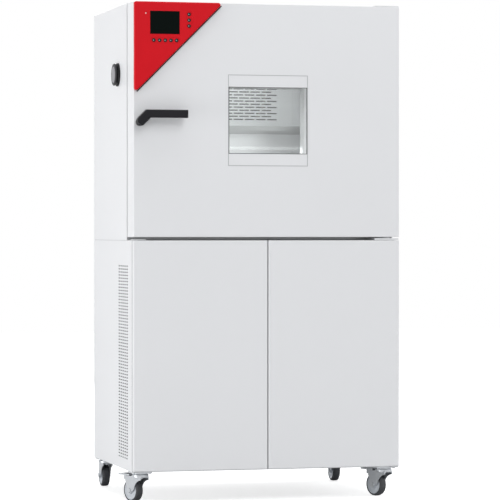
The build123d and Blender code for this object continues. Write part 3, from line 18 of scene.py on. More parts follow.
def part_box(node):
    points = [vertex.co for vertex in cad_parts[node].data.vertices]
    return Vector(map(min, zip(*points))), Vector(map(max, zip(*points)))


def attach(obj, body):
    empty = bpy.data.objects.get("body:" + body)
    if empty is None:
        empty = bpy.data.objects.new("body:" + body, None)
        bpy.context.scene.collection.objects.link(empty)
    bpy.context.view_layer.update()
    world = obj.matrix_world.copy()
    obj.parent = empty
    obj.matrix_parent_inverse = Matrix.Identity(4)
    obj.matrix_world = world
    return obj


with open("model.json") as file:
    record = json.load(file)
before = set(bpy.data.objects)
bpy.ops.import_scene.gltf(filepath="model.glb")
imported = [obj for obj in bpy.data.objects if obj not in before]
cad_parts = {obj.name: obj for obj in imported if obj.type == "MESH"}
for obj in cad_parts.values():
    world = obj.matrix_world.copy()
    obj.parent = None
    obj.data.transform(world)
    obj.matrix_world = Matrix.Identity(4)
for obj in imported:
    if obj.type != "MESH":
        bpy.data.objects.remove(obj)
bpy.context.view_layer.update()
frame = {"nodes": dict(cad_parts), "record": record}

# %% [markdown]
# Most places below are taken from the boxes of the CAD nodes, so a fitting sits on the
# sheet that carries it. Blender works in metres, and small sizes read better in
# millimetres, so `MM` turns one into the other.

# %% The planes that the fittings sit on
MM = 0.001
FORWARD, BACKWARD = (0, -1, 0), (0, 1, 0)
LEFTWARD, RIGHTWARD = (-1, 0, 0), (1, 0, 0)
UP, DOWN = (0, 0, 1), (0, 0, -1)
BOTH_SIDES = (-1, 1)

door_low, door_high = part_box("door_skin")
LEFT, FRONT, DOOR_TOP = door_low.x, door_low.y, door_high.z
RIGHT = door_high.x
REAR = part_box("rear_panels")[1].y
PANEL_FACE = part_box("panel_housing")[0].y
print("door front", round(FRONT, 4), "panel face", round(PANEL_FACE, 4))
print("rear", round(REAR, 4), "left", round(LEFT, 4), "right", round(RIGHT, 4))

# %% [markdown]
# ## The camera
#
# The photograph was taken with a long lens from the front left, about nine metres
# away, level with the middle of the machine. The position, the turn and the lens were
# worked out from the corners of the doors in the picture. There is no lens shift, so
# the object also stays in the middle of every other view.

# %% Camera
CAMERA_PLACE = (-2.2226, -8.7421, 0.8719)
CAMERA_TURN = math.radians(14.395)
CAMERA_TILT = math.radians(-0.406)
LENS_MM = 194.63
CLIP_END = 100

camera_data = bpy.data.cameras.new("photo_camera")
camera_data.lens = LENS_MM
camera_data.clip_end = CLIP_END
camera = bpy.data.objects.new("photo_camera", camera_data)
bpy.context.collection.objects.link(camera)
camera.location = CAMERA_PLACE
camera.rotation_euler = (math.pi / 2 + CAMERA_TILT, 0, -CAMERA_TURN)
bpy.context.scene.camera = camera
bpy.context.scene.view_settings.view_transform = "Standard"
print("camera", CAMERA_PLACE, "lens", LENS_MM)

# %% [markdown]
# ## Floor, background and lamps
#
# The machine stands on a pale floor in front of pure white. The white comes from what
# the camera sees of the world, and what gloss and glass see of it, not from more light
# on the machine. The floor adds a glow of its own for camera rays, so it reads as
# nearly white, and the shadow under the casters still shows.

# %% White world with a plain soft light
WORLD_LIGHT = 0.5
WORLD_TINT = (0.97, 0.985, 1, 1)
WHITE = (1, 1, 1, 1)

world = bpy.data.worlds.new("studio_world")
bpy.context.scene.world = world
world.use_nodes = True
world_nodes, world_links = world.node_tree.nodes, world.node_tree.links
world_nodes.clear()


def background(colour, strength):
    """One background shader of the world."""
    shader = world_nodes.new("ShaderNodeBackground")
    shader.inputs["Color"].default_value = colour
    shader.inputs["Strength"].default_value = strength
    return shader


def either(first, second):
    """1 where one of two ray outputs is 1."""
    larger = world_nodes.new("ShaderNodeMath")
    larger.operation = "MAXIMUM"
    world_links.new(first, larger.inputs[0])
    world_links.new(second, larger.inputs[1])
    return larger.outputs[0]


rays = world_nodes.new("ShaderNodeLightPath").outputs
seen_or_mirrored = either(rays["Is Camera Ray"], rays["Is Glossy Ray"])
looking = either(seen_or_mirrored, rays["Is Transmission Ray"])
ambient = background(WORLD_TINT, WORLD_LIGHT)
white = background(WHITE, 1.0)
choose = world_nodes.new("ShaderNodeMixShader")
world_out = world_nodes.new("ShaderNodeOutputWorld")
world_links.new(looking, choose.inputs["Fac"])
world_links.new(ambient.outputs[0], choose.inputs[1])
world_links.new(white.outputs[0], choose.inputs[2])
world_links.new(choose.outputs[0], world_out.inputs["Surface"])
print("world light", WORLD_LIGHT)

# %% Floor
FLOOR_HALF = 14
FLOOR_WHITE = (0.8, 0.8, 0.8, 1)
FLOOR_GLOW = 0.67


def floor_finish():
    """Matt white that keeps a soft shadow, with a glow for the camera."""
    material = bpy.data.materials.new("studio_floor")
    material.use_nodes = True
    nodes, links = material.node_tree.nodes, material.node_tree.links
    nodes.clear()
    light_path = nodes.new("ShaderNodeLightPath")
    matt = nodes.new("ShaderNodeBsdfDiffuse")
    matt.inputs["Color"].default_value = FLOOR_WHITE
    glow = nodes.new("ShaderNodeEmission")
    glow.inputs["Strength"].default_value = FLOOR_GLOW
    both = nodes.new("ShaderNodeAddShader")
    mix = nodes.new("ShaderNodeMixShader")
    out = nodes.new("ShaderNodeOutputMaterial")
    links.new(matt.outputs[0], both.inputs[0])
    links.new(glow.outputs[0], both.inputs[1])
    links.new(light_path.outputs["Is Camera Ray"], mix.inputs["Fac"])
    links.new(matt.outputs[0], mix.inputs[1])
    links.new(both.outputs[0], mix.inputs[2])
    links.new(mix.outputs[0], out.inputs["Surface"])
    return material


def deselect_all():
    """Take everything out of the selection, CAD nodes included."""
    for thing in list(bpy.context.selected_objects):
        thing.select_set(False)


deselect_all()
bpy.ops.mesh.primitive_plane_add(size=2 * FLOOR_HALF, location=(0, 0, 0))
floor = bpy.context.active_object
floor.name = "studio_floor"
floor.data.materials.append(floor_finish())
print("floor", 2 * FLOOR_HALF, "m square")

# %% [markdown]
# Large soft lamps do the work of studio boxes: one on the left, which makes the side
# panel a little lighter than the doors, one in front, one overhead, and one each for
# the right side and the back, which the photograph doesn't show. A small lamp under
# the chamber's ceiling and one under the shelf stand for the interior light. The
# panes cast no shadow, so that the light from outside also reaches the chamber. Small
# hard lamps would draw sharp spots on the paint, so all of them are wide.

# %% Lamps
LAMPS = [  # name, place, size in metres, watts
    ("left_box", (-4.4, -0.9, 0.7), 1.2, 74),
    ("front_box", (0.8, -4.6, 4.2), 3.0, 88),
    ("right_box", (5.0, 0.5, 2.4), 3.0, 75),
    ("rear_box", (0.5, 6.0, 2.6), 3.0, 75),
    ("top_box", (0.0, -0.5, 5.0), 3.0, 60),
]
LAMP_TARGET = (0, 0, 0.85)


def soft_lamp(name, place, size, power, target):
    """A square area lamp turned towards a point."""
    data = bpy.data.lights.new(name, "AREA")
    data.size = size
    data.energy = power
    lamp = bpy.data.objects.new(name, data)
    bpy.context.collection.objects.link(lamp)
    lamp.location = place
    lamp.rotation_mode = "QUATERNION"
    lamp.rotation_quaternion = (Vector(target) - Vector(place)).to_track_quat("-Z", "Y")


for lamp_name, lamp_place, lamp_size, lamp_power in LAMPS:
    soft_lamp(lamp_name, lamp_place, lamp_size, lamp_power, LAMP_TARGET)
print(len(LAMPS), "studio lamps")

# %% Interior lamps
chamber_low, chamber_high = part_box("inner_chamber")
INNER_LAMPS = [  # name, level of the sheet above it, watts
    ("upper_light", chamber_high.z, 1.45),
    ("lower_light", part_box("shelf")[0].z, 0.65),
]
INNER_SIZE = 0.3
INNER_DROP, INNER_BACK = 0.02, 0.1
DOWN_AND_BACK = Vector((0, 0.3, -1))

for lamp_name, lamp_level, lamp_power in INNER_LAMPS:
    spot = Vector((0, chamber_low.y + INNER_BACK, lamp_level - INNER_DROP))
    soft_lamp(lamp_name, spot, INNER_SIZE, lamp_power, spot + DOWN_AND_BACK)
frame["nodes"]["window_panes"].visible_shadow = False
print(len(INNER_LAMPS), "interior lamps")

# %% [markdown]
# ## Finishes
#
# Each finish is a procedural material. A real surface is never one flat colour: powder
# coat has a faint orange peel, drawn steel has a grain in one direction, zinc plate is
# cloudy. So every finish mixes two near colours with a slow noise, varies its
# roughness, and gets a fine bump. The patterns read Object coordinates, in metres, so
# they keep their real scale and move with the part. A photographed texture would need
# a file and a flat layout of every node, and a procedural one needs neither.

# %% A helper that builds one finish
CLOUD_DETAIL, GRAIN_DETAIL = 4, 3
GRAIN_HEIGHT = 0.03 * MM
FINISHES = {}


def noise(nodes, links, vector, scale, detail):
    """One noise pattern on a mapped position."""
    pattern = nodes.new("ShaderNodeTexNoise")
    pattern.inputs["Scale"].default_value = scale
    pattern.inputs["Detail"].default_value = detail
    links.new(vector, pattern.inputs["Vector"])
    return pattern.outputs["Fac"]


def finish(
    name, tone, second_tone, rough, patch, grain, bump, metal=0.0, stretch=(1, 1, 1), **extra
):
    """Two tones in slow patches, varied roughness, and a fine grain as bump.

    patch and grain are pattern scales per metre, rough is a lowest and highest value.
    """
    material = bpy.data.materials.new(name)
    material.use_nodes = True
    nodes, links = material.node_tree.nodes, material.node_tree.links
    shader = nodes["Principled BSDF"]
    place = nodes.new("ShaderNodeTexCoord")
    mapping = nodes.new("ShaderNodeMapping")
    mapping.inputs["Scale"].default_value = stretch
    links.new(place.outputs["Object"], mapping.inputs["Vector"])
    clouds = noise(nodes, links, mapping.outputs["Vector"], patch, CLOUD_DETAIL)
    fine = noise(nodes, links, mapping.outputs["Vector"], grain, GRAIN_DETAIL)

    tones = nodes.new("ShaderNodeMix")
    tones.data_type = "RGBA"
    tones.inputs["A"].default_value = (*tone, 1)
    tones.inputs["B"].default_value = (*second_tone, 1)
    links.new(clouds, tones.inputs["Factor"])
    links.new(tones.outputs["Result"], shader.inputs["Base Color"])

    dull = nodes.new("ShaderNodeMapRange")
    dull.inputs["To Min"].default_value = rough[0]
    dull.inputs["To Max"].default_value = rough[1]
    links.new(fine, dull.inputs["Value"])
    links.new(dull.outputs["Result"], shader.inputs["Roughness"])

    relief = nodes.new("ShaderNodeBump")
    relief.inputs["Strength"].default_value = bump
    relief.inputs["Distance"].default_value = GRAIN_HEIGHT
    links.new(fine, relief.inputs["Height"])
    links.new(relief.outputs["Normal"], shader.inputs["Normal"])
    shader.inputs["Metallic"].default_value = metal
    for socket, value in extra.items():
        shader.inputs[socket.replace("_", " ")].default_value = value
    FINISHES[name] = material


# %% [markdown]
# The cabinet is light powder-coated steel. The chamber is stainless sheet with a
# grain that runs level, so the pattern is stretched: few changes along X, many up Z.
# The sheet's metallic value is kept low, because a mirror-like box would show the
# white room through the window and not its own walls.

# %% Paints and sheets
LEVEL_GRAIN = (0.15, 1, 6)

finish(
    "white_paint", (0.79, 0.795, 0.81), (0.765, 0.77, 0.785),
    rough=(0.38, 0.5), patch=2.5, grain=700, bump=0.12, Specular_IOR_Level=0.35,
)
finish(
    "grey_paint", (0.42, 0.43, 0.44), (0.37, 0.38, 0.39),
    rough=(0.4, 0.55), patch=6, grain=600, bump=0.15,
)
finish(
    "stainless", (0.78, 0.79, 0.8), (0.7, 0.71, 0.725),
    rough=(0.3, 0.44), patch=9, grain=160, bump=0.16, metal=0.35, stretch=LEVEL_GRAIN,
)
finish(
    "collar_steel", (0.6, 0.61, 0.62), (0.52, 0.53, 0.545),
    rough=(0.26, 0.4), patch=9, grain=160, bump=0.16, metal=0.75, stretch=LEVEL_GRAIN,
)
# The shelf's steel is a darker copy of the stainless, as painted shade, so that its front lip
# reads as the dark line of its shaded edge.
finish(
    "shelf_steel_painted_shade", (0.5, 0.51, 0.52), (0.42, 0.43, 0.44),
    rough=(0.3, 0.45), patch=12, grain=160, bump=0.16, metal=0.4, stretch=LEVEL_GRAIN,
)
finish(
    "zinc_sheet", (0.6, 0.61, 0.62), (0.5, 0.515, 0.53),
    rough=(0.35, 0.5), patch=60, grain=220, bump=0.1, metal=0.85,
)
print(len(FINISHES), "paints and sheets")

# %% Plated and bare metals
finish(
    "zinc_plate", (0.66, 0.68, 0.7), (0.54, 0.56, 0.59),
    rough=(0.25, 0.42), patch=90, grain=500, bump=0.12, metal=0.85,
)
finish(
    "heater_steel", (0.3, 0.27, 0.24), (0.2, 0.18, 0.17),
    rough=(0.4, 0.6), patch=40, grain=300, bump=0.2, metal=0.8,
)
finish(
    "fin_aluminium", (0.7, 0.71, 0.72), (0.6, 0.61, 0.62),
    rough=(0.3, 0.45), patch=50, grain=400, bump=0.1, metal=0.9,
)
finish(
    "copper_pipe", (0.72, 0.36, 0.2), (0.5, 0.22, 0.12),
    rough=(0.25, 0.45), patch=30, grain=200, bump=0.1, metal=0.9,
)
finish(
    "machine_black", (0.025, 0.025, 0.028), (0.018, 0.018, 0.02),
    rough=(0.4, 0.55), patch=12, grain=500, bump=0.2,
)
print(len(FINISHES), "finishes so far")

# %% [markdown]
# Plastics and rubbers are duller. The control panel is a clean red moulding, the
# handle is black plastic with a fine eroded texture, and the foam is a warm cream.

# %% Plastics
finish(
    "red_plastic", (0.66, 0.006, 0.014), (0.6, 0.005, 0.012),
    rough=(0.32, 0.42), patch=8, grain=900, bump=0.08, Specular_IOR_Level=0.12,
)
finish(
    "black_plastic", (0.011, 0.011, 0.014), (0.008, 0.008, 0.01),
    rough=(0.38, 0.52), patch=20, grain=1500, bump=0.35, Specular_IOR_Level=0.18,
)
finish(
    "frame_plastic", (0.82, 0.83, 0.84), (0.78, 0.79, 0.8),
    rough=(0.4, 0.5), patch=10, grain=900, bump=0.1,
)
finish(
    "wheel_plastic", (0.6, 0.63, 0.67), (0.52, 0.55, 0.59),
    rough=(0.35, 0.5), patch=60, grain=900, bump=0.15,
)
finish(
    "lamp_lens", (0.85, 0.5, 0.5), (0.8, 0.42, 0.42),
    rough=(0.1, 0.2), patch=60, grain=900, bump=0.05,
)
print(len(FINISHES), "finishes so far")

# %% Rubbers and foam
finish(
    "black_rubber", (0.02, 0.021, 0.024), (0.013, 0.013, 0.015),
    rough=(0.6, 0.78), patch=20, grain=900, bump=0.3,
)
finish(
    "plug_rubber", (0.022, 0.023, 0.027), (0.016, 0.017, 0.02),
    rough=(0.55, 0.7), patch=25, grain=800, bump=0.25,
)
finish(
    "plug_grey", (0.33, 0.33, 0.35), (0.28, 0.28, 0.3),
    rough=(0.55, 0.7), patch=40, grain=700, bump=0.25,
)
finish(
    "grey_tyre", (0.052, 0.054, 0.06), (0.04, 0.042, 0.047),
    rough=(0.55, 0.75), patch=60, grain=900, bump=0.35,
)
finish(
    "foam", (0.72, 0.65, 0.45), (0.66, 0.58, 0.38),
    rough=(0.85, 0.95), patch=14, grain=420, bump=0.6,
)
print(len(FINISHES), "finishes so far")

# %% [markdown]
# Glass is clear with the faint green of float glass. The display's window is smoked
# nearly black, and its gloss is held down, so it stays dark in front of a white room.

# %% Glass
finish(
    "window_glass", (0.985, 0.995, 0.99), (0.98, 0.99, 0.985),
    rough=(0.0, 0.01), patch=3, grain=40, bump=0.004, Transmission_Weight=1.0, IOR=1.45,
)
finish(
    "display_glass", (0.0012, 0.004, 0.003), (0.0008, 0.0026, 0.002),
    rough=(0.12, 0.18), patch=10, grain=300, bump=0.01, Specular_IOR_Level=0.05,
)
print(len(FINISHES), "finishes so far")

# %% [markdown]
# The CAD record says which finish each node has. The materials here carry the same
# names, so one short loop dresses all nodes. The keys alone differ: the photograph
# shows them black.

# %% Dress the CAD nodes
KEYS = [f"soft_key_{number}" for number in range(1, 6)]
KEYS += [f"side_key_{number}" for number in range(1, 4)]
slot_of = {part["node"]: part["material_slot"] for part in frame["record"]["subparts"]}
slot_of.update({key: "black_plastic" for key in KEYS})


def dress(piece, finish_name):
    """Give a piece one finish in place of whatever it has."""
    piece.data.materials.clear()
    piece.data.materials.append(FINISHES[finish_name])


for node_name, node in frame["nodes"].items():
    dress(node, slot_of[node_name])
print("dressed", len(frame["nodes"]), "nodes")

# %% [markdown]
# Two nodes get painted shade as a second tone. Behind the slotted baffle the liner is painted
# near black, as the shade of the unlit space there, so that the slots read dark. In the left
# panel the walls of the punched slots, and all that lies behind the outer face, get painted
# shade, and only the outer face keeps the white paint.
# Each is one node, so its finish is split by a plane: a position on one axis decides
# between the finish's own tone and a dark one. Painting single faces would do the
# same, but the CAD meshes are left as they are.

# %% Split a finish by a plane


def split_finish(base, name, axis, limit, painted_shade_tone):
    """A copy of a finish that turns to a painted shade tone past a limit on one axis."""
    material = FINISHES[base].copy()
    material.name = name
    nodes, links = material.node_tree.nodes, material.node_tree.links
    colour = nodes["Principled BSDF"].inputs["Base Color"]
    own_tone = colour.links[0].from_socket
    where = nodes.new("ShaderNodeTexCoord")
    parts = nodes.new("ShaderNodeSeparateXYZ")
    past = nodes.new("ShaderNodeMath")
    past.operation = "GREATER_THAN"
    past.inputs[1].default_value = limit
    pick = nodes.new("ShaderNodeMix")
    pick.data_type = "RGBA"
    pick.inputs["B"].default_value = (*painted_shade_tone, 1)
    links.new(where.outputs["Object"], parts.inputs[0])
    links.new(parts.outputs[axis], past.inputs[0])
    links.new(past.outputs[0], pick.inputs["Factor"])
    links.new(own_tone, pick.inputs["A"])
    links.new(pick.outputs["Result"], colour)
    FINISHES[name] = material


# %% Liner and slotted panel with painted shade, and the steels round the chamber
BAFFLE_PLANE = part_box("air_baffle")[0].y + 3 * MM
SLOT_SHADE_DEPTH = 0.4 * MM
PLENUM_PAINTED_SHADE = (0.02, 0.022, 0.024)
SLOT_PAINTED_SHADE = (0.008, 0.009, 0.01)
OWN_FINISH = {
    "inner_chamber": "liner_painted_shade",
    "side_panel_left": "slotted_paint_painted_shade",
    "front_collar": "collar_steel",
    "door_liner": "collar_steel",
    # the shelf's darker steel is painted shade on its front lip
    "shelf": "shelf_steel_painted_shade",
    # the fan and the evaporator behind the baffle are dressed black as painted shade of the
    # unlit space there
    "circulation_fan": "machine_black",
    "evaporator": "machine_black",
}

# The liner turns to a near black painted shade behind the baffle.
split_finish("stainless", "liner_painted_shade", "Y", BAFFLE_PLANE, PLENUM_PAINTED_SHADE)
# The left panel turns to painted shade past its outer face, on the walls of the slots.
split_finish("white_paint", "slotted_paint_painted_shade", "X", LEFT + SLOT_SHADE_DEPTH, SLOT_PAINTED_SHADE)
for node_name, finish_name in OWN_FINISH.items():
    dress(frame["nodes"][node_name], finish_name)
print(len(OWN_FINISH), "nodes with a finish of their own")

# %% [markdown]
# ## Modelling helpers
#
# The fittings are modelled as by hand: a primitive is added, opened in edit mode, and
# shaped by inset, extrude and bevel. A round fitting starts as a short cylinder whose
# top face is inset and raised in steps, which gives rims, collars and recesses. A
# seal or a rim starts as a plane that is inset, loses its middle, and is extruded.
# Boolean cuts could give some of these shapes too, but they leave thin, uneven faces
# that a bevel can't follow.

# %% Open, shape and close a piece


def choose_only(piece):
    """Select one piece alone and make it the active one."""
    deselect_all()
    piece.select_set(True)
    bpy.context.view_layer.objects.active = piece


def open_piece(piece):
    """Enter edit mode on one piece with nothing selected."""
    choose_only(piece)
    bpy.ops.object.mode_set(mode="EDIT")
    bpy.ops.mesh.select_mode(type="FACE")
    bpy.ops.mesh.select_all(action="DESELECT")


def pick_top(piece):
    """Select the faces of the open piece that look up."""
    shape = bmesh.from_edit_mesh(piece.data)
    for face in shape.faces:
        face.select_set(face.normal.z > 0.9)
    bmesh.update_edit_mesh(piece.data)


def close_piece(piece):
    """Turn all faces outwards and leave edit mode."""
    bpy.ops.mesh.select_all(action="SELECT")
    bpy.ops.mesh.normals_make_consistent(inside=False)
    bpy.ops.object.mode_set(mode="OBJECT")


# %% [markdown]
# Every piece is built about the origin and looks up. To place it, a matrix turns and
# moves the object, and `transform_apply` writes that into the mesh, so that the object
# itself ends at the origin, unturned, as the CAD nodes are.

# %% Place a piece


def put_by(piece, matrix):
    """Move a piece by a matrix, and write the move into its mesh."""
    piece.matrix_world = matrix
    choose_only(piece)
    bpy.ops.object.transform_apply(location=True, rotation=True, scale=True)


def settle(piece, place, axis, turn=0.0):
    """Move a round piece to its place, its top facing along an axis."""
    facing = Vector(axis).to_track_quat("Z", "Y").to_matrix().to_4x4()
    put_by(piece, Matrix.Translation(place) @ facing @ Matrix.Rotation(turn, 4, "Z"))


def on_front(piece, x, z, y=FRONT, turn=0.0):
    """Stand a piece on a face that looks forwards, its own Y upwards."""
    upright = Matrix.Rotation(math.pi / 2, 4, "X") @ Matrix.Rotation(turn, 4, "Z")
    put_by(piece, Matrix.Translation((x, y, z)) @ upright)


# %% Finish a piece and give it to its body
SMOOTH_BELOW = math.radians(35)


def hand_over(piece, finish_name, body):
    """Finish, smooth shading by angle, and the body that carries the piece.
    """
    dress(piece, finish_name)
    choose_only(piece)
    bpy.ops.object.shade_smooth_by_angle(angle=SMOOTH_BELOW)
    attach(piece, body)
    print(piece.name, len(piece.data.polygons), "faces on", body)


# %% [markdown]
# Screws, lamps, dots and the plug's face are all turned pieces. A profile could be
# drawn and spun, but a cylinder whose top is worked step by step is closed from the
# start and needs no seam to be merged.

# %% A turned fitting


def turned(name, radius, height, steps, sides=24):
    """A round fitting on z = 0: a cylinder whose top is worked in steps.

    Each step is an inset and a rise. Without an inset, the top is extruded.
    """
    deselect_all()
    bpy.ops.mesh.primitive_cylinder_add(
        vertices=sides, radius=radius, depth=height, location=(0, 0, height / 2)
    )
    piece = bpy.context.active_object
    piece.name = name
    bpy.ops.object.transform_apply(location=True)
    open_piece(piece)
    pick_top(piece)
    for inset, rise in steps:
        if inset:
            bpy.ops.mesh.inset(thickness=inset, depth=rise)
        else:
            bpy.ops.mesh.extrude_region_move(TRANSFORM_OT_translate={"value": (0, 0, rise)})
    close_piece(piece)
    return piece


# %% A rim that stands up from a face


def soften(piece, width, segments=2):
    """Round the sharp edges of a finished piece."""
    bevel = piece.modifiers.new("soft_edges", "BEVEL")
    bevel.width = width
    bevel.segments = segments
    bevel.limit_method = "ANGLE"
    choose_only(piece)
    bpy.ops.object.modifier_apply(modifier=bevel.name)


def rim(name, size, width, height, edge):
    """A rectangular ring on z = 0 with softened edges."""
    deselect_all()
    bpy.ops.mesh.primitive_plane_add(size=1, location=(0, 0, 0))
    piece = bpy.context.active_object
    piece.name = name
    piece.scale = (*size, 1)
    bpy.ops.object.transform_apply(scale=True)
    open_piece(piece)
    bpy.ops.mesh.select_all(action="SELECT")
    bpy.ops.mesh.inset(thickness=width)
    bpy.ops.mesh.delete(type="FACE")
    bpy.ops.mesh.select_all(action="SELECT")
    bpy.ops.mesh.extrude_region_move(TRANSFORM_OT_translate={"value": (0, 0, height)})
    close_piece(piece)
    soften(piece, edge)
    return piece


# %% A box with a raised or sunk front


def case(name, size, steps, edge):
    """A box on z = 0 whose top face is inset and raised in steps, with soft edges."""
    deselect_all()
    bpy.ops.mesh.primitive_cube_add(size=1, location=(0, 0, size[2] / 2))
    piece = bpy.context.active_object
    piece.name = name
    piece.scale = size
    bpy.ops.object.transform_apply(location=True, scale=True)
    open_piece(piece)
    pick_top(piece)
    for inset, rise in steps:
        bpy.ops.mesh.inset(thickness=inset, depth=rise)
    close_piece(piece)
    soften(piece, edge)
    return piece


# %% [markdown]
# A row of screws is one screw, modelled once, then copied with its own mesh to each
# place and joined to one piece. The first one is the pattern and is removed. Each copy
# is turned a little further, because no fitter stops all screws at the same angle.

# %% Copy one fitting to many places
SCREW_TURN = math.radians(17)


def join_pieces(name, pieces):
    """Make one piece of several, under one name."""
    deselect_all()
    for piece in pieces:
        piece.select_set(True)
    bpy.context.view_layer.objects.active = pieces[0]
    bpy.ops.object.join()
    pieces[0].name = name
    return pieces[0]


def scatter(name, pattern, places, axis):
    """Copies of a fitting at some places, all facing one way, joined to one piece."""
    copies = []
    for number, place in enumerate(places):
        copy = pattern.copy()
        copy.data = pattern.data.copy()
        bpy.context.collection.objects.link(copy)
        settle(copy, place, axis, turn=SCREW_TURN * number)
        copies.append(copy)
    bpy.data.objects.remove(pattern)
    return join_pieces(name, copies)


def pan_screw(radius, height):
    """A pan head with a rounded edge and a socket in its middle."""
    side, dome = height * 0.6, height * 0.4
    rounding, land, socket_wall = radius * 0.18, radius * 0.3, radius * 0.04
    steps = [(rounding, dome), (land, 0), (socket_wall, -side)]
    return turned("pan_screw", radius, side, steps, sides=12)


# %% [markdown]
# ## The window
#
# The photograph shows a thin grey line round the whole window, and another round the
# clear glass between the two white bands. On the real door these are rubber profiles
# that hold the outer pane. Each is a rim that stands about half a millimetre proud.
# The outer one sits on the door, the inner one starts 2 mm deeper, at the glass. A
# curve with a round section would be softer, but these profiles have flat tops and
# square corners, which an inset plane gives at once.

# %% Window seals
window_low, window_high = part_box("window_bands")
window_middle = (window_low + window_high) / 2
glass_low, glass_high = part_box("window_frame")
SEAL_WIDTH = 1.8 * MM
SEAL_EDGE = 0.2 * MM
OUTER_SEAL_HEIGHT, GLASS_SEAL_HEIGHT = 0.6 * MM, 2.4 * MM
GLASS_DEPTH = 2 * MM
FRAME_WALLS = 6 * MM

outer_size = (
    window_high.x - window_low.x + 2 * SEAL_WIDTH,
    window_high.z - window_low.z + 2 * SEAL_WIDTH,
)
outer_seal = rim("window_outer_seal", outer_size, SEAL_WIDTH, OUTER_SEAL_HEIGHT, SEAL_EDGE)
on_front(outer_seal, window_middle.x, window_middle.z)
hand_over(outer_seal, "grey_paint", "door")

glass_size = (
    window_high.x - window_low.x,
    glass_high.z - glass_low.z - FRAME_WALLS + SEAL_WIDTH,
)
glass_seal = rim("window_glass_seal", glass_size, SEAL_WIDTH, GLASS_SEAL_HEIGHT, SEAL_EDGE)
on_front(glass_seal, window_middle.x, window_middle.z, FRONT + GLASS_DEPTH)
hand_over(glass_seal, "machine_black", "door")

# %% [markdown]
# ## The control panel
#
# A small status lamp sits left of the display: a red ring with a pale domed lens. Both
# are turned. The ring's top is sunk, so that the lens looks set into it. The lens is
# only 5 mm wide and is left in facets, which catch the light as a cut lens does.

# %% Status lamp
LAMP_FROM_LEFT, LAMP_FROM_TOP = 36.8 * MM, 37.7 * MM
LAMP_SPOT = (LEFT + LAMP_FROM_LEFT, PANEL_FACE, DOOR_TOP - LAMP_FROM_TOP)
RING_RADIUS, RING_HEIGHT = 3.6 * MM, 0.8 * MM
RING_STEPS = [(0.4 * MM, 0.3 * MM), (0.5 * MM, -0.4 * MM)]
LENS_RADIUS, LENS_HEIGHT = 2.4 * MM, 0.9 * MM
LENS_STEPS = [(0.5 * MM, 0.5 * MM), (0.7 * MM, 0.3 * MM)]

lamp_ring = turned("status_lamp_ring", RING_RADIUS, RING_HEIGHT, RING_STEPS)
settle(lamp_ring, LAMP_SPOT, FORWARD)
hand_over(lamp_ring, "red_plastic", "door")

lamp_lens = turned("status_lamp_lens", LENS_RADIUS, LENS_HEIGHT, LENS_STEPS, sides=20)
settle(lamp_lens, LAMP_SPOT, FORWARD)
dress(lamp_lens, "lamp_lens")
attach(lamp_lens, "door")
print(lamp_lens.name, len(lamp_lens.data.polygons), "faces, left in facets")

# %% [markdown]
# The display sits in a thin raised rim of the same red moulding. It keeps fingers off
# the edge of the glass. It is a rim like the seals, with a rounder edge, and overlaps
# the glass a little, as the real one does.

# %% Display rim
display_low, display_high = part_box("display")
display_middle = (display_low + display_high) / 2
RIM_WIDTH, RIM_HEIGHT, RIM_EDGE = 1.6 * MM, 0.7 * MM, 0.3 * MM

display_size = (
    display_high.x - display_low.x + RIM_WIDTH,
    display_high.z - display_low.z + RIM_WIDTH,
)
display_rim = rim("display_rim", display_size, RIM_WIDTH, RIM_HEIGHT, RIM_EDGE)
on_front(display_rim, display_middle.x, display_middle.z, PANEL_FACE)
hand_over(display_rim, "red_plastic", "door")

# %% [markdown]
# Each round key has a pale raised dot that a finger finds. A painted dot would be a
# second material on the key, but a turned one also shows from the side. The keys move
# one by one, so each dot is a piece of its own that rides on its key.

# %% Key dots, one on each key's own body
DOT_RADIUS, DOT_HEIGHT = 1.7 * MM, 0.12 * MM
DOT_STEPS = [(0.3 * MM, 0.12 * MM), (0.5 * MM, -0.05 * MM)]
DOT_LEFT_OF_MIDDLE = 1.2 * MM

for key_name in KEYS:
    key_low, key_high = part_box(key_name)
    key_middle = (key_low + key_high) / 2
    dot = turned(f"{key_name}_dot", DOT_RADIUS, DOT_HEIGHT, DOT_STEPS, sides=20)
    settle(dot, (key_middle.x - DOT_LEFT_OF_MIDDLE, key_low.y, key_middle.z), FORWARD)
    hand_over(dot, "grey_paint", key_name)

# %% [markdown]
# The seal along the panel's long edge is a rubber bead that runs at 45 degrees. It is
# a long case with a raised top, turned into place. A swept curve would do as well, but
# the bead is straight. It ends short of both corners, where the moulding is rounded.

# %% Panel seal
PANEL_LEG = 292 * MM
CORNER_LOSS = 22 * MM
BEAD_WIDTH, BEAD_HEIGHT, BEAD_EDGE = 3.2 * MM, 7 * MM, 0.5 * MM
BEAD_STEPS = [(0.8 * MM, 0.6 * MM)]
BEAD_OUTWARDS = 2.1 * MM

bead_length = PANEL_LEG * math.sqrt(2) - CORNER_LOSS
bead = case("panel_seal", (bead_length, BEAD_WIDTH, BEAD_HEIGHT), BEAD_STEPS, BEAD_EDGE)
half_leg = PANEL_LEG / 2 + BEAD_OUTWARDS
on_front(bead, LEFT + half_leg, DOOR_TOP - half_leg, turn=math.radians(45))
hand_over(bead, "black_rubber", "door")

# %% [markdown]
# ## The access port
#
# The soft plug in the left side has a grey face inside a dark rim, with a shallow
# groove round its middle for grip. A pattern in the material could draw the groove,
# but it would be flat in the mesh, so it is turned: five steps on the top of a disc.

# %% Plug face
plug_low, plug_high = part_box("port_plug")
plug_middle = (plug_low + plug_high) / 2
PLUG_FACE_RADIUS, PLUG_FACE_HEIGHT = 26.6 * MM, 1.6 * MM
PLUG_FACE_DEPTH = 1.5 * MM
PLUG_STEPS = [
    (1 * MM, 0.5 * MM), (5 * MM, 0), (0.6 * MM, -0.6 * MM), (2 * MM, 0), (0.6 * MM, 0.6 * MM),
]

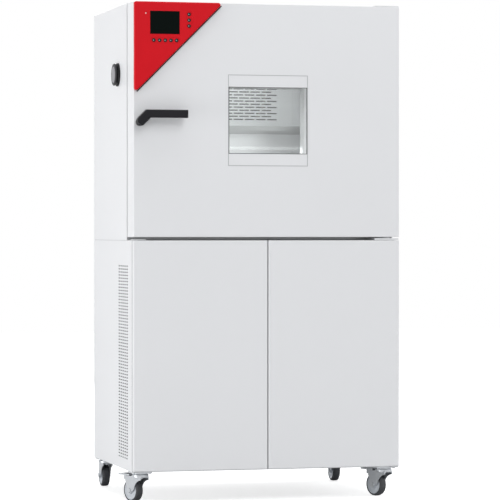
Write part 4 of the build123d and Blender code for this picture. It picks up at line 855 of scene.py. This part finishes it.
plug_face = turned("plug_face", PLUG_FACE_RADIUS, PLUG_FACE_HEIGHT, PLUG_STEPS, sides=48)
plug_spot = (plug_low.x + PLUG_FACE_DEPTH, plug_middle.y, plug_middle.z)
settle(plug_face, plug_spot, LEFTWARD)
hand_over(plug_face, "plug_grey", "plug")

# %% [markdown]
# ## The air inlet
#
# Behind the vent slots of the left panel lies a black pad in a thin frame, a dark sheet that
# stands in as painted shade for the unlit inside of the cabinet. With the painted shade on
# the walls of the slots it makes them look black. It is a shallow case whose face is inset
# and sunk, turned so that the face looks sideways.

# %% Black pad behind the vent slots, as painted shade
PAD_SIZE = (680 * MM, 160 * MM, 5 * MM)
PAD_MIDDLE = (LEFT + 2.4 * MM, FRONT + 165 * MM, 448 * MM)
PAD_STEPS = [(6 * MM, -1 * MM), (2 * MM, 0.6 * MM)]
PAD_EDGE = 0.6 * MM

# A black pad, as painted shade behind the vent slots.
vent_shade_pad = case("inlet_shade_pad", PAD_SIZE, PAD_STEPS, PAD_EDGE)
put_by(vent_shade_pad, Matrix.Translation(PAD_MIDDLE) @ Matrix.Rotation(math.pi / 2, 4, "Y"))
hand_over(vent_shade_pad, "black_rubber", "housing")

# %% [markdown]
# ## Screws
#
# All screws are pan heads with a socket, and differ only in size. A bump pattern of
# screw heads would vanish when seen from the side, so each is a real turned piece.
# The rear panels are held in four columns. The two outer ones also have a screw half
# way up each panel, the two inner ones only near the panels' upper and lower edges.

# %% Rear screws
rear_low, rear_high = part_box("rear_panels")
CABINET_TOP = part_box("base_frame")[1].z - 3 * MM
SCREW_INSET = 14 * MM
INNER_COLUMN = 0.15
HALF_UP_CABINET, HALF_UP_CHAMBER = 0.47, 1.22
REAR_SCREW = (4.5 * MM, 2.6 * MM)

columns = [LEFT + SCREW_INSET, -INNER_COLUMN, INNER_COLUMN, RIGHT - SCREW_INSET]
levels = [rear_low.z + SCREW_INSET, HALF_UP_CABINET, CABINET_TOP - SCREW_INSET]
levels += [CABINET_TOP + SCREW_INSET, HALF_UP_CHAMBER, rear_high.z - SCREW_INSET]
rear_places = [
    (x, REAR, z) for x in columns for z in levels
    if abs(x) > INNER_COLUMN or z not in (HALF_UP_CABINET, HALF_UP_CHAMBER)
]
rear_screws = scatter("rear_screws", pan_screw(*REAR_SCREW), rear_places, BACKWARD)
hand_over(rear_screws, "zinc_plate", "housing")

# %% [markdown]
# The main switch's square plate has a screw in each corner. The panel that it sits on
# gives their level, and the plate's middle gives their places.

# %% Switch plate screws
switch_low, switch_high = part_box("main_switch")
switch_middle = (switch_low + switch_high) / 2
plate_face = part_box("side_panel_right")[1].x
PLATE_CORNER = 24.5 * MM
PLATE_SCREW = (2.4 * MM, 1.4 * MM)

plate_places = [
    (plate_face, switch_middle.y + a * PLATE_CORNER, switch_middle.z + b * PLATE_CORNER)
    for a in BOTH_SIDES for b in BOTH_SIDES
]
plate_screws = scatter(
    "switch_plate_screws", pan_screw(*PLATE_SCREW), plate_places, RIGHTWARD
)
hand_over(plate_screws, "zinc_plate", "housing")

# %% [markdown]
# Six screws hold the slotted baffle in front of the fan, so that it can come off for
# cleaning. They are stainless, as the sheet is.

# %% Baffle screws
baffle_low, baffle_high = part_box("air_baffle")
BAFFLE_INSET = 12 * MM
BAFFLE_SCREW = (4 * MM, 2.4 * MM)

baffle_places = [
    (x, baffle_low.y, z)
    for x in (baffle_low.x + BAFFLE_INSET, 0, baffle_high.x - BAFFLE_INSET)
    for z in (baffle_low.z + BAFFLE_INSET, baffle_high.z - BAFFLE_INSET)
]
baffle_screws = scatter("baffle_screws", pan_screw(*BAFFLE_SCREW), baffle_places, FORWARD)
hand_over(baffle_screws, "stainless", "housing")

# %% [markdown]
# Each caster's plate hangs on four bolts. The heads are flat hexagons on a flange, low
# enough for the brake pedal to pass under them. Here the cylinder has six sides: it
# is the flange, and its top is inset before the head is extruded.

# %% Caster bolts
plates_low, plates_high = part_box("caster_plates")
PLATE_THICKNESS = 4 * MM
BOLT_X, BOLT_Y = 26 * MM, 28 * MM
HALF_PLATE_X, HALF_PLATE_Y = 33 * MM, 35 * MM
BOLT_RADIUS, FLANGE_HEIGHT = 5.6 * MM, 0.6 * MM
BOLT_STEPS = [(1 * MM, 0), (0, 1.3 * MM), (0.5 * MM, 0.3 * MM)]

plate_x = plates_high.x - HALF_PLATE_X
plate_ys = (plates_low.y + HALF_PLATE_Y, plates_high.y - HALF_PLATE_Y)
bolt_level = plates_high.z - PLATE_THICKNESS
bolt_places = [
    (side * plate_x + a * BOLT_X, y + b * BOLT_Y, bolt_level)
    for side in BOTH_SIDES for y in plate_ys for a in BOTH_SIDES for b in BOTH_SIDES
]
caster_bolt = turned("caster_bolt", BOLT_RADIUS, FLANGE_HEIGHT, BOLT_STEPS, sides=6)
caster_bolts = scatter("caster_bolts", caster_bolt, bolt_places, DOWN)
hand_over(caster_bolts, "zinc_plate", "housing")

# %% [markdown]
# ## The door's seal
#
# The gasket has a thin inner lip that touches the collar first. It is a second rim on
# the door's inner face, inside the main profile. A profile swept along a path would
# bend round the corners, but on the real door the lip is cut and welded there.

# %% Gasket lip
gasket_low, gasket_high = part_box("door_gasket")
gasket_middle = (gasket_low + gasket_high) / 2
LIP_INSET = 20 * MM
LIP_WIDTH, LIP_HEIGHT, LIP_EDGE = 3 * MM, 6.5 * MM, 0.8 * MM

lip_size = (
    gasket_high.x - gasket_low.x - 2 * LIP_INSET,
    gasket_high.z - gasket_low.z - 2 * LIP_INSET,
)
lip = rim("gasket_lip", lip_size, LIP_WIDTH, LIP_HEIGHT, LIP_EDGE)
lip_spot = Matrix.Translation((gasket_middle.x, gasket_low.y, gasket_middle.z))
put_by(lip, lip_spot @ Matrix.Rotation(-math.pi / 2, 4, "X"))
hand_over(lip, "black_rubber", "door")

# %% [markdown]
# ## The condenser fan's guard
#
# A wire guard covers the fan on the shroud: five rings on eight spokes. The rings are
# thin tori, and each spoke is a slim turned bar. All lie in one plane, as on a guard
# that is spot-welded, and are joined to one piece. Curves with a thickness would give
# the same wires, but would have to be turned into meshes first.

# %% Fan guard
cooling_low, cooling_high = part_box("condenser_fan")
cooling_middle = (cooling_low + cooling_high) / 2
GUARD_FROM_FAN = 41 * MM
WIRE = 1.2 * MM
SPOKE_TIP = WIRE * 0.4
RING_RADII = (44 * MM, 62 * MM, 80 * MM, 98 * MM, 115 * MM)
SPOKE_INNER, SPOKE_OUTER = 42 * MM, 118 * MM
SPOKES = 8
guard_centre = Vector((cooling_low.x + GUARD_FROM_FAN, cooling_middle.y, cooling_middle.z))


def wire_ring(radius):
    """One ring of the guard about the fan's axis."""
    deselect_all()
    bpy.ops.mesh.primitive_torus_add(
        major_radius=radius, minor_radius=WIRE, major_segments=48, minor_segments=8,
        location=(0, 0, 0), rotation=(0, 0, 0),
    )
    ring = bpy.context.active_object
    settle(ring, guard_centre, RIGHTWARD)
    return ring


def spoke(angle):
    """One spoke from the hub ring to past the last ring, with a narrowed end."""
    bar = turned("spoke", WIRE, SPOKE_OUTER - SPOKE_INNER, [(SPOKE_TIP, SPOKE_TIP)], sides=8)
    direction = Vector((0, math.cos(angle), math.sin(angle)))
    settle(bar, guard_centre + direction * SPOKE_INNER, direction)
    return bar


guard_parts = [wire_ring(radius) for radius in RING_RADII]
guard_parts += [spoke(math.tau * (number + 0.5) / SPOKES) for number in range(SPOKES)]
guard = join_pieces("fan_guard", guard_parts)
hand_over(guard, "zinc_plate", "housing")

# %% [markdown]
# ## The compressor and the electrical box
#
# The compressor is a steel pot. A black cover on its front hides the terminals. It is
# a case with a raised face and a slightly sunk field, and it starts inside the round
# pot, so that no gap shows at its sides.

# %% Terminal cover
pot_low, pot_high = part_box("compressor")
pot_middle = (pot_low + pot_high) / 2
POT_RADIUS = 85 * MM
COVER_SIZE = (52 * MM, 66 * MM, 26 * MM)
COVER_STEPS = [(3 * MM, 2 * MM), (8 * MM, -1 * MM)]
COVER_EDGE = 1.5 * MM
COVER_LEVEL, COVER_SUNK = 82 * MM, 6 * MM

terminal = case("terminal_cover", COVER_SIZE, COVER_STEPS, COVER_EDGE)
pot_front = pot_middle.y - POT_RADIUS
on_front(terminal, pot_middle.x, pot_low.z + COVER_LEVEL, pot_front + COVER_SUNK)
hand_over(terminal, "black_plastic", "housing")

# %% [markdown]
# Four bolts with broad washers go through the compressor's foot. The washer is the
# first disc, and the bolt is extruded from its inset top.

# %% Foot bolts
FOOT_CORNER = 77 * MM
FOOT_LEVEL = 14 * MM
FOOT_BOLT_RADIUS, FOOT_WASHER = 9 * MM, 1.6 * MM
FOOT_BOLT_STEPS = [(3 * MM, 0), (0, 5 * MM), (0.8 * MM, 0.6 * MM)]

foot_places = [
    (pot_middle.x + a * FOOT_CORNER, pot_middle.y + b * FOOT_CORNER, pot_low.z + FOOT_LEVEL)
    for a in BOTH_SIDES for b in BOTH_SIDES
]
foot_bolt = turned("foot_bolt", FOOT_BOLT_RADIUS, FOOT_WASHER, FOOT_BOLT_STEPS, sides=12)
foot_bolts = scatter("compressor_foot_bolts", foot_bolt, foot_places, UP)
hand_over(foot_bolts, "zinc_plate", "housing")

# %% [markdown]
# The cover of the electrical box has a quarter-turn latch at half height. It is turned
# with a sunk middle, where the key goes.

# %% Latch of the electrical box
box_low, box_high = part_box("control_box")
box_middle = (box_low + box_high) / 2
LATCH_INSET = 24 * MM
LATCH_RADIUS, LATCH_HEIGHT = 11 * MM, 2 * MM
LATCH_STEPS = [(1.5 * MM, 1 * MM), (4 * MM, 0), (0.5 * MM, -1.5 * MM)]

latch = turned("control_box_latch", LATCH_RADIUS, LATCH_HEIGHT, LATCH_STEPS, sides=32)
settle(latch, (box_low.x + LATCH_INSET, box_low.y, box_middle.z), FORWARD)
hand_over(latch, "machine_black", "housing")

# %% [markdown]
# Four screws hold the corners of that cover. Their inset keeps them on its flat part.

# %% Screws of its cover
COVER_INSET = 16 * MM
COVER_SCREW = (4 * MM, 2.2 * MM)

cover_places = [
    (x, box_low.y, z)
    for x in (box_low.x + COVER_INSET, box_high.x - COVER_INSET)
    for z in (box_low.z + COVER_INSET, box_high.z - COVER_INSET)
]
cover_screws = scatter("control_box_screws", pan_screw(*COVER_SCREW), cover_places, FORWARD)
hand_over(cover_screws, "zinc_plate", "housing")
